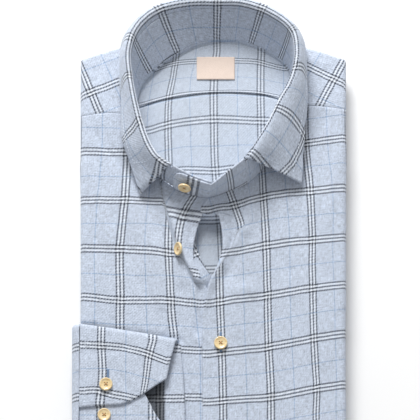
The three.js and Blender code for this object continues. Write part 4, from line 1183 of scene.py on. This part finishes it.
# The hidden layers' folded edges, seen in the slots at the sides and the shoulder end.
layerLook = {
    "inset": 2.6, "depth": 10.0,
    "sheets": [
        {"height": 9.6, "out": -0.6, "wave": 1.1, "phase": 0.4},
        {"height": 11.7, "out": 0.5, "wave": 0.8, "phase": 2.1},
        {"height": 13.8, "out": -0.2, "wave": 1.2, "phase": 4.0},
        {"height": 15.9, "out": -1.0, "wave": 0.9, "phase": 5.3},
    ],
}


def layerEdgePiece(sheet):
    thick = 1.7
    topY = 120.0
    y = np.linspace(foldLineY + 4, topY, 130)
    pieces = []
    for side in (-1, 1):
        inset = layerLook["inset"] + 1.2 - sheet["out"] + (10.5 * smooth(-84, -96, y) if side < 0 else 0)
        longWave = np.sin(y / 23 + sheet["phase"] + side)
        inset = inset + sheet["wave"] * (longWave + 0.5 * np.sin(y / 9.7 + sheet["phase"] * 2))
        edge = halfWidth(y) - inset - 1.6
        turns = np.linspace(-0.5, 0.5, 9) * math.pi
        outer = edge[:, None] + thick / 2 * np.cos(turns)[None]
        sway = 0.25 * np.sin(y / 31 + sheet["phase"])[:, None]
        z = sheet["height"] + thick / 2 * np.sin(turns)[None] + sway
        inward = edge[:, None] - layerLook["depth"] * np.linspace(1, 0.2, 3)[None]
        low = np.broadcast_to(z[:, :1], inward.shape)
        high = np.broadcast_to(z[:, -1:], inward.shape)
        x = np.concatenate([inward, outer, inward[:, ::-1]], 1)
        z = np.concatenate([low, z, high], 1)
        yy = np.broadcast_to(y[:, None], x.shape)
        loop = np.stack([side * x, yy, z], -1)
        run = lengthAlong(loop)
        pieces.append((loop, np.stack([run + sheet["phase"] * 9, -yy], -1)))
    points, quads, uvs = [], [], []
    base = 0
    for loop, grain in pieces:
        rows, columns = loop.shape[:2]
        ids = np.arange(rows * columns).reshape(rows, columns) + base
        after = np.roll(ids, -1, axis=1)
        own = [np.stack([ids[:-1], ids[1:], after[1:], after[:-1]], -1).reshape(-1, 4)]
        for line, flip in ((ids[0], False), (ids[-1], True)):
            half = columns // 2
            a, b = line[:half], line[::-1][:half]
            cap = np.stack([a[:-1], a[1:], b[1:], b[:-1]], -1)
            own.append(cap if not flip else cap[:, ::-1])
            tip = [line[half - 1], line[half], line[half + 1], line[half + 1]]
            if columns % 2:
                own.append(np.array([tip if not flip else [tip[2], tip[1], tip[0], tip[0]]]))
        own = np.concatenate(own)
        flat = loop.reshape(-1, 3)
        own = facingOut(flat, own - base) + base
        points.append(flat)
        quads.append(own)
        uvs.append(grain.reshape(-1, 2))
        base += rows * columns
    return np.concatenate(points), np.concatenate(quads), np.concatenate(uvs)


def horn(name):
    g = Graph(name)
    place = g.nodes.new("ShaderNodeTexCoord").outputs["Object"]
    streak = g.nodes.new("ShaderNodeMapping")
    g.links.new(place, streak.inputs["Vector"])
    streak.inputs["Scale"].default_value = (1.0, 3.2, 1.6)
    cloud = g.noise(streak.outputs[0], 260.0, 3.0, 0.55)
    colour = g.blend(g.math("MULTIPLY_ADD", cloud, 1.6, -0.3), hornLook["shade"], hornLook["light"])
    g.feature("Base Color", colour)
    g.feature("Roughness", 0.3)
    g.feature("Subsurface Weight", 0.12)
    g.feature("Subsurface Radius", (0.003, 0.002, 0.001))
    g.feature("Coat Weight", 0.25)
    scratch = g.noise(place, 1500.0, 2.0, 0.6)
    g.bump(scratch, 0.12, 0.0001)
    return g.material


def threadMaterial(name, colour, shade):
    g = Graph(name)
    place = g.nodes.new("ShaderNodeTexCoord").outputs["Object"]
    twist = g.noise(place, 2600.0, 2.0, 0.6)
    g.feature("Base Color", g.blend(twist, shade, colour))
    g.feature("Roughness", 0.6)
    g.feature("Sheen Weight", 0.3)
    g.bump(twist, 0.4, 0.0001)
    return g.material


def labelMaterial(name):
    g = Graph(name)
    uv = g.nodes.new("ShaderNodeUVMap")
    uv.uv_map = "cloth"
    split = g.nodes.new("ShaderNodeSeparateXYZ")
    g.links.new(uv.outputs[0], split.inputs[0])
    rib = g.math("SINE", g.math("MULTIPLY", split.outputs[1], 2 * math.pi / 0.0006))
    warp = g.math("SINE", g.math("MULTIPLY", split.outputs[0], 2 * math.pi / 0.0004))
    weave = g.math("MULTIPLY", rib, warp)
    cloud = g.noise(uv.outputs[0], 220.0, 3.0, 0.6)
    tone = g.math("MULTIPLY_ADD", weave, 0.04, g.math("MULTIPLY_ADD", cloud, 0.12, 0.94))
    colour = g.blend(1.0, labelLook["colour"], g.combine(tone, tone, tone), "MULTIPLY")
    g.feature("Base Color", colour)
    g.feature("Roughness", 0.5)
    g.feature("Sheen Weight", 0.4)
    g.bump(weave, 0.35, 0.0001)
    return g.material


hornLook = {"light": (0.93, 0.82, 0.56, 1.0), "shade": (0.72, 0.47, 0.17, 1.0)}
labelLook = {"colour": (0.76, 0.62, 0.53, 1.0)}
wrongSideLook = dict(flannelLook, ground=(0.53, 0.585, 0.67, 1.0), coverSwing=0.40, cover=0.34, fleck=0.5)
flannelWrongSide = flannelMaterial("flannel_wrong_side", wrongSideLook)
labelCloth = labelMaterial("label_weave")
hornCream = horn("button_horn")
sewingThread = threadMaterial("sewing_thread", (0.80, 0.86, 0.93, 1.0), (0.60, 0.68, 0.80, 1.0))
buttonThread = threadMaterial("button_thread", (0.62, 0.36, 0.14, 1.0), (0.40, 0.19, 0.06, 1.0))
blueThread = threadMaterial("buttonhole_thread", (0.24, 0.36, 0.55, 1.0), (0.12, 0.20, 0.36, 1.0))

buttonLook = {
    "thickness": 2.6, "rim": 1.15, "rimDepth": 0.55, "holeAway": 1.4, "holeSize": 0.6,
    "threadRadius": 0.2, "threadRise": 0.6,
    "places": [
        {"name": "collar_button", "radius": 5.7, "centre": (-24.4, 15.2, 49.6),
         "facing": (-0.22, -0.92, 0.30)},
        {"name": "second_button", "radius": 5.7, "centre": (-28.9, -35.8, 34.9),
         "facing": (-0.84, -0.12, 0.52)},
        {"name": "third_button", "radius": 5.7, "centre": (6.2, -117.1, 29), "facing": (0, 0, 1)},
        {"name": "fourth_button", "radius": 5.7, "centre": (8.2, -202, 28.4), "facing": (0, 0, 1)},
        {"name": "cuff_button", "radius": 5.6, "centre": (-90.4, -154.3, 36), "facing": (0, 0, 1)},
        {"name": "cuff_second_button", "radius": 5.6, "centre": (-91.7, -180, 33.7), "facing": (0, 0, 1)},
    ],
}


def turnedTo(facing, centre):
    turn = Vector((0, 0, 1)).rotation_difference(Vector(facing).normalized())
    placed = turn.to_matrix().to_4x4()
    placed.translation = ((centre[0] + shiftX) / 1000, (centre[1] + shiftY) / 1000, centre[2] / 1000)
    return placed


def buttonPiece(place):
    r, t = place["radius"], buttonLook["thickness"]
    rim, dip = buttonLook["rim"], buttonLook["rimDepth"]
    profile = [(0, 0.0), (r * 0.55, 0.0), (r - 0.9, 0.25), (r - 0.25, 0.75), (r, 1.35), (r - 0.12, t - 0.55)]
    profile += [(r - 0.4, t - 0.15), (r - 0.75, t), (r - rim, t - 0.12), (r - rim - 0.5, t - dip)]
    profile += [(r * 0.4, t - dip - 0.1), (0, t - dip - 0.1)]
    count = 56
    rings = []
    points = [(0, 0, profile[0][1])]
    for radius, height in profile[1:-1]:
        rings.append(len(points))
        for k in range(count):
            angle = 2 * math.pi * k / count
            points.append((radius * math.cos(angle), radius * math.sin(angle), height))
    points.append((0, 0, profile[-1][1]))
    last = len(points) - 1
    faces = []
    for k in range(count):
        after = (k + 1) % count
        faces.append((0, rings[0] + after, rings[0] + k))
        faces.append((last, rings[-1] + k, rings[-1] + after))
        for a, b in zip(rings, rings[1:]):
            faces.append((a + k, a + after, b + after, b + k))
    mesh = bpy.data.meshes.new(place["name"])
    mesh.from_pydata([tuple(c / 1000 for c in p) for p in points], [], faces)
    blank = linked(place["name"] + "_blank", mesh)
    drills = []
    for degrees in (45, 135, 225, 315):
        angle = math.radians(degrees)
        bpy.ops.mesh.primitive_cylinder_add(vertices=16, radius=buttonLook["holeSize"] / 1000, depth=0.01)
        drill = bpy.context.object
        away = buttonLook["holeAway"] / 1000
        drill.location = (math.cos(angle) * away, math.sin(angle) * away, 0.001)
        drills.append(drill)
        cut = blank.modifiers.new("hole", "BOOLEAN")
        cut.operation = "DIFFERENCE"
        cut.solver = "EXACT"
        cut.object = drill
    bpy.context.view_layer.update()
    seen = blank.evaluated_get(bpy.context.evaluated_depsgraph_get())
    done = bpy.data.meshes.new_from_object(seen)
    done.transform(turnedTo(place["facing"], place["centre"]))
    for gone in [blank, *drills]:
        bpy.data.objects.remove(gone)
    piece = linked(place["name"] + "_horn", done)
    done.materials.clear()
    done.materials.append(hornCream)
    for face in done.polygons:
        face.use_smooth = True
    done.set_sharp_from_angle(angle=math.radians(40))
    settle(piece, [place["name"]])
    return piece


# The thread that holds a button: two strands over each pair of opposite holes.
def buttonThreads(place):
    turn = turnedTo(place["facing"], place["centre"])
    floor = buttonLook["thickness"] - buttonLook["rimDepth"] - 0.1
    t = np.linspace(-1, 1, 17)
    turns = np.linspace(0, 2 * math.pi, 9)[:-1]
    points, faces = [], []
    for degrees in (45, 135):
        angle = math.radians(degrees)
        out = np.array([math.cos(angle), math.sin(angle), 0])
        beside = np.array([-math.sin(angle), math.cos(angle), 0])
        for step in (-1, 1):
            rise = floor - 0.5 + (buttonLook["threadRise"] + (0.22 if degrees > 90 else 0)) * (1 - t ** 4)
            path = out * (t * buttonLook["holeAway"])[:, None] + np.array([0, 0, 1]) * rise[:, None]
            path = path + beside * (step * buttonLook["threadRadius"] * 0.85)
            along = np.gradient(path, axis=0)
            along /= np.linalg.norm(along, axis=1, keepdims=True)
            upward = np.cross(along, np.broadcast_to(beside, along.shape))
            base = len(points)
            for spot, up in zip(path, upward):
                for k in turns:
                    around = math.cos(k) * beside + math.sin(k) * up
                    points.append(spot + buttonLook["threadRadius"] * around)
            for ring in range(len(t) - 1):
                for k in range(8):
                    a, b = base + ring * 8, base + ring * 8 + 8
                    faces.append((a + k, a + (k + 1) % 8, b + (k + 1) % 8, b + k))
            faces.append(tuple(base + k for k in range(7, -1, -1)))
            faces.append(tuple(base + (len(t) - 1) * 8 + k for k in range(8)))
    mesh = bpy.data.meshes.new(place["name"] + "_thread")
    mesh.from_pydata([tuple(p / 1000) for p in points], [], faces)
    mesh.transform(turn)
    mesh.materials.append(buttonThread)
    for face in mesh.polygons:
        face.use_smooth = len(face.vertices) == 4
    piece = linked(place["name"] + "_thread", mesh)
    settle(piece, [])
    return piece


# A path of stitches: each one a short rounded length of thread laid along its line.
def stitchTree():
    tree = bpy.data.node_groups.new("stitches", "GeometryNodeTree")
    face = tree.interface
    face.new_socket("Geometry", in_out="INPUT", socket_type="NodeSocketGeometry")
    for label, value in (("Pitch", 0.003), ("Length", 0.0021), ("Thickness", 0.0005), ("Turn", 0.0)):
        made = face.new_socket(label, in_out="INPUT", socket_type="NodeSocketFloat")
        made.default_value = value
    face.new_socket("Thread", in_out="INPUT", socket_type="NodeSocketMaterial")
    face.new_socket("Geometry", in_out="OUTPUT", socket_type="NodeSocketGeometry")
    nodes, links = tree.nodes, tree.links
    given = nodes.new("NodeGroupInput")
    done = nodes.new("NodeGroupOutput")
    line = nodes.new("GeometryNodeMeshToCurve")
    spaced = nodes.new("GeometryNodeResampleCurve")
    spaced.mode = "LENGTH"
    tangent = nodes.new("GeometryNodeInputTangent")
    turned = nodes.new("FunctionNodeAlignRotationToVector")
    turned.axis = "X"
    across = nodes.new("FunctionNodeRotateRotation")
    across.rotation_space = "LOCAL"
    angle = nodes.new("ShaderNodeCombineXYZ")
    asRotation = nodes.new("FunctionNodeEulerToRotation")
    bead = nodes.new("GeometryNodeMeshIcoSphere")
    bead.inputs["Radius"].default_value = 0.5
    bead.inputs["Subdivisions"].default_value = 2
    size = nodes.new("ShaderNodeCombineXYZ")
    shaped = nodes.new("GeometryNodeTransform")
    vary = nodes.new("FunctionNodeRandomValue")
    vary.data_type = "FLOAT"
    put = nodes.new("GeometryNodeInstanceOnPoints")
    real = nodes.new("GeometryNodeRealizeInstances")
    smoothed = nodes.new("GeometryNodeSetShadeSmooth")
    finish = nodes.new("GeometryNodeSetMaterial")
    links.new(given.outputs["Geometry"], line.inputs["Mesh"])
    links.new(line.outputs["Curve"], spaced.inputs["Curve"])
    links.new(given.outputs["Pitch"], spaced.inputs["Length"])
    links.new(tangent.outputs[0], turned.inputs["Vector"])
    links.new(turned.outputs[0], across.inputs["Rotation"])
    links.new(given.outputs["Turn"], angle.inputs["Z"])
    links.new(angle.outputs[0], asRotation.inputs[0])
    links.new(asRotation.outputs[0], across.inputs["Rotate By"])
    links.new(given.outputs["Length"], size.inputs["X"])
    links.new(given.outputs["Thickness"], size.inputs["Y"])
    links.new(given.outputs["Thickness"], size.inputs["Z"])
    links.new(bead.outputs["Mesh"], shaped.inputs["Geometry"])
    links.new(size.outputs[0], shaped.inputs["Scale"])
    for socket in vary.inputs:
        if socket.name == "Min" and socket.type == "VALUE":
            socket.default_value = 0.88
        if socket.name == "Max" and socket.type == "VALUE":
            socket.default_value = 1.08
        if socket.name == "Seed":
            socket.default_value = 7
    spread = [socket for socket in vary.outputs if socket.type == "VALUE"][0]
    links.new(spaced.outputs["Curve"], put.inputs["Points"])
    links.new(shaped.outputs["Geometry"], put.inputs["Instance"])
    links.new(across.outputs[0], put.inputs["Rotation"])
    links.new(spread, put.inputs["Scale"])
    links.new(put.outputs["Instances"], real.inputs["Geometry"])
    links.new(real.outputs["Geometry"], smoothed.inputs["Geometry"])
    links.new(smoothed.outputs["Geometry"], finish.inputs["Geometry"])
    links.new(given.outputs["Thread"], finish.inputs["Material"])
    links.new(finish.outputs["Geometry"], done.inputs["Geometry"])
    return tree


stitching = stitchTree()
stitchInputs = {
    item.name: item.identifier for item in stitching.interface.items_tree if item.in_out == "INPUT"
}


def sew(name, lines, thread, pitch=3.0, length=2.1, thickness=0.5, turn=0.0):
    points, edges = [], []
    for line in lines:
        start = len(points)
        points += [((p[0] + shiftX) / 1000, (p[1] + shiftY) / 1000, p[2] / 1000) for p in line]
        edges += [(start + k, start + k + 1) for k in range(len(line) - 1)]
    mesh = bpy.data.meshes.new(name + "_line")
    mesh.from_pydata(points, edges, [])
    holder = linked(name + "_line", mesh)
    modifier = holder.modifiers.new("stitches", "NODES")
    modifier.node_group = stitching
    modifier[stitchInputs["Pitch"]] = pitch / 1000
    modifier[stitchInputs["Length"]] = length / 1000
    modifier[stitchInputs["Thickness"]] = thickness / 1000
    modifier[stitchInputs["Turn"]] = turn
    modifier[stitchInputs["Thread"]] = thread
    bpy.context.view_layer.update()
    seen = holder.evaluated_get(bpy.context.evaluated_depsgraph_get())
    made = bpy.data.meshes.new_from_object(seen)
    made.name = name
    bpy.data.objects.remove(holder)
    piece = linked(name, made)
    settle(piece, [])
    return piece


def onFace(face, rows, columns, lift):
    rows, columns = np.broadcast_arrays(np.asarray(rows, float), np.asarray(columns, float))
    normal = np.cross(np.gradient(face, axis=0), np.gradient(face, axis=1))
    normal /= np.maximum(np.linalg.norm(normal, axis=2, keepdims=True), 1e-9)
    lifted = face + normal * lift
    r = np.clip(rows, 0, face.shape[0] - 1.001)
    c = np.clip(columns, 0, face.shape[1] - 1.001)
    i, j = r.astype(int), c.astype(int)
    a, b = (r - i)[:, None], (c - j)[:, None]
    low = mix(lifted[i, j], lifted[i, j + 1], b)
    high = mix(lifted[i + 1, j], lifted[i + 1, j + 1], b)
    return mix(low, high, a)


rightPiece = frontPiece("front_right", rightFront)
leftPiece = frontPiece("front_left", leftFront)
facingMade = facingPiece()
yokeOuter = yokePiece()
yokeInner = yokeInsidePiece()
backInner = backInsidePiece()
print("body made")
bandPieceMade = collarBandPiece()
leafPieceMade, leafFace = collarLeafPiece()
cuffMade, cuffFace = cuffPiece()
sleeveMade = sleevePiece()
labelMade = labelPiece()
print("collar, cuff and label made")
for place in buttonLook["places"]:
    buttonPiece(place)
    buttonThreads(place)
print("buttons made")

layerPoints, layerQuads, layerUv, base = [], [], [], 0
for sheet in layerLook["sheets"]:
    points, quads, uv = layerEdgePiece(sheet)
    layerPoints.append(points)
    layerQuads.append(quads + base)
    layerUv.append(uv)
    base += len(points)
layers = meshPiece(
    "folded_edges", np.concatenate(layerPoints), np.concatenate(layerQuads), np.concatenate(layerUv),
    flannelWrongSide,
)
settle(layers, [])
print("folded edges made")


def coreMaterial():
    g = Graph("folded_core_cloth")
    place = g.nodes.new("ShaderNodeTexCoord").outputs["Object"]
    cloud = g.noise(place, 70.0, 3.0, 0.6)
    fleck = g.noise(place, 1400.0, 2.0, 0.6)
    tone = g.math("MULTIPLY_ADD", fleck, 0.3, g.math("MULTIPLY_ADD", cloud, 0.2, 0.75))
    colour = g.blend(1.0, flannelLook["ground"], g.combine(tone, tone, tone), "MULTIPLY")
    g.feature("Base Color", colour)
    g.feature("Roughness", 0.95)
    g.feature("Sheen Weight", 0.2)
    g.bump(fleck, 0.5, 0.0002)
    return g.material


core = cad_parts["folded_core"]
for slotNumber in range(len(core.material_slots)):
    core.material_slots[slotNumber].material = coreMaterial()

# Sewing lines
leafRows = leafLook["rows"] - 1
leafColumns = leafLook["columns"] - 1
edgeColumn = leafColumns * 0.872
leafLine = onFace(leafFace[:, ::-1], np.linspace(6, leafRows - 6, 500), leafColumns - edgeColumn, 0.1)
frontColumns = np.linspace(leafColumns - edgeColumn, leafColumns * 0.52, 40)
frontLeft = onFace(leafFace[:, ::-1], 6, frontColumns, 0.1)
frontRight = onFace(leafFace[:, ::-1], leafRows - 6, frontColumns, 0.1)
collarSewing = sew("collar_stitching", [leafLine, frontLeft, frontRight], sewingThread)
cuffRows, cuffColumns = cuffFace.shape[0] - 1, cuffFace.shape[1] - 1
cuffLines = []
for column in (3.4, cuffColumns - 4.0):
    rows = np.linspace(2.5, cuffRows - 2.5, 400)
    cuffLines.append(onFace(cuffFace[:, ::-1], rows, cuffColumns - column, 0.1))
cuffLines.append(onFace(cuffFace[:, ::-1], 2.2, np.linspace(4.0, cuffColumns - 3.4, 80), 0.1))
cuffSewing = sew("cuff_stitching", cuffLines, sewingThread)
yokeLines = []
for side, seamY in ((-1, seamYRight), (1, seamYLeft)):
    t = np.linspace(0, 1, 40)
    x = mix(-110, -67, t) if side < 0 else mix(63, 110, t)
    y = seamY(t) + 2.2
    yokeLines.append(np.stack([x, y, stackTop(x, y) + 0.12 + creasesAt(yokeLook["creases"], x, y) * 0.3], -1))
yokeSewing = sew("yoke_stitching", yokeLines, sewingThread)
buttonholeLook = [
    {"name": "third_buttonhole", "x": 6.2, "from": -107.8, "to": -124.4},
    {"name": "fourth_buttonhole", "x": 8.2, "from": -192.6, "to": -209.4},
]
for hole in buttonholeLook:
    y = np.linspace(hole["from"], hole["to"], 20)
    x = np.full(20, hole["x"])
    z = leftFrontTop(x, y) + creasesAt(leftFront["creases"], x, y) + 0.15
    line = np.stack([x, y, z], -1)
    sew(hole["name"], [line], blueThread, 0.5, 2.3, 0.55, math.pi / 2)
y = np.linspace(-141.5, -158.0, 20)
x = np.full(20, -88.8)
z = cuffOverlapTop + creasesAt(cuffLook["creases"], x, y) + 0.15
line = np.stack([x, y, z], -1)
cuffHoleSewing = sew("cuff_buttonhole", [line], blueThread, 0.5, 2.3, 0.55, math.pi / 2)
print("sewing made")
cameraLook = {"elevation": 74.0, "distance": 2200.0, "aim": (-2.9, 0.0, 30.0), "scale": 0.86, "sensor": 36.0}


def setCamera():
    look = cameraLook
    data = bpy.data.cameras.new("camera")
    data.sensor_width = look["sensor"]
    data.sensor_fit = "HORIZONTAL"
    data.lens = look["distance"] / look["scale"] / 420 * look["sensor"]
    data.clip_end = 20
    camera = bpy.data.objects.new("camera", data)
    angle = math.radians(look["elevation"])
    camera.location = (
        (look["aim"][0] + shiftX) / 1000,
        (look["aim"][1] + shiftY - look["distance"] * math.cos(angle)) / 1000,
        (look["aim"][2] + look["distance"] * math.sin(angle)) / 1000,
    )
    camera.rotation_euler = (math.pi / 2 - angle, 0, 0)
    bpy.context.collection.objects.link(camera)
    bpy.context.scene.camera = camera


lightLook = {
    "world": 0.46, "lamps": [
        {"name": "key", "place": (-0.36, 1.95, 1.6), "size": 1.0, "power": 74.0},
    ],
}


def setLights():
    world = bpy.data.worlds.new("studio")
    bpy.context.scene.world = world
    world.use_nodes = True
    world.node_tree.nodes["Background"].inputs["Color"].default_value = (1, 1, 1, 1)
    world.node_tree.nodes["Background"].inputs["Strength"].default_value = lightLook["world"]
    for lamp in lightLook["lamps"]:
        data = bpy.data.lights.new(lamp["name"], "AREA")
        data.size = lamp["size"]
        data.energy = lamp["power"]
        light = bpy.data.objects.new(lamp["name"], data)
        light.location = lamp["place"]
        aim = Vector((0, 0, 0)) - Vector(lamp["place"])
        light.rotation_euler = aim.to_track_quat("-Z", "Y").to_euler()
        bpy.context.collection.objects.link(light)


def setFloor():
    g = Graph("floor_paint")
    place = g.nodes.new("ShaderNodeTexCoord").outputs["Object"]
    paint = g.blend(g.noise(place, 6.0), (0.93, 0.93, 0.93, 1), (0.95, 0.95, 0.95, 1))
    g.feature("Base Color", paint)
    g.feature("Roughness", 0.9)
    mesh = bpy.data.meshes.new("floor")
    mesh.from_pydata([(-4, -4, 0), (4, -4, 0), (4, 4, 0), (-4, 4, 0)], [], [(0, 1, 2, 3)])
    floor = bpy.data.objects.new("floor", mesh)
    mesh.materials.append(g.material)
    bpy.context.collection.objects.link(floor)


setCamera()
setLights()
setFloor()
bpy.context.scene.view_settings.view_transform = "Standard"
print("camera, lights and floor set")
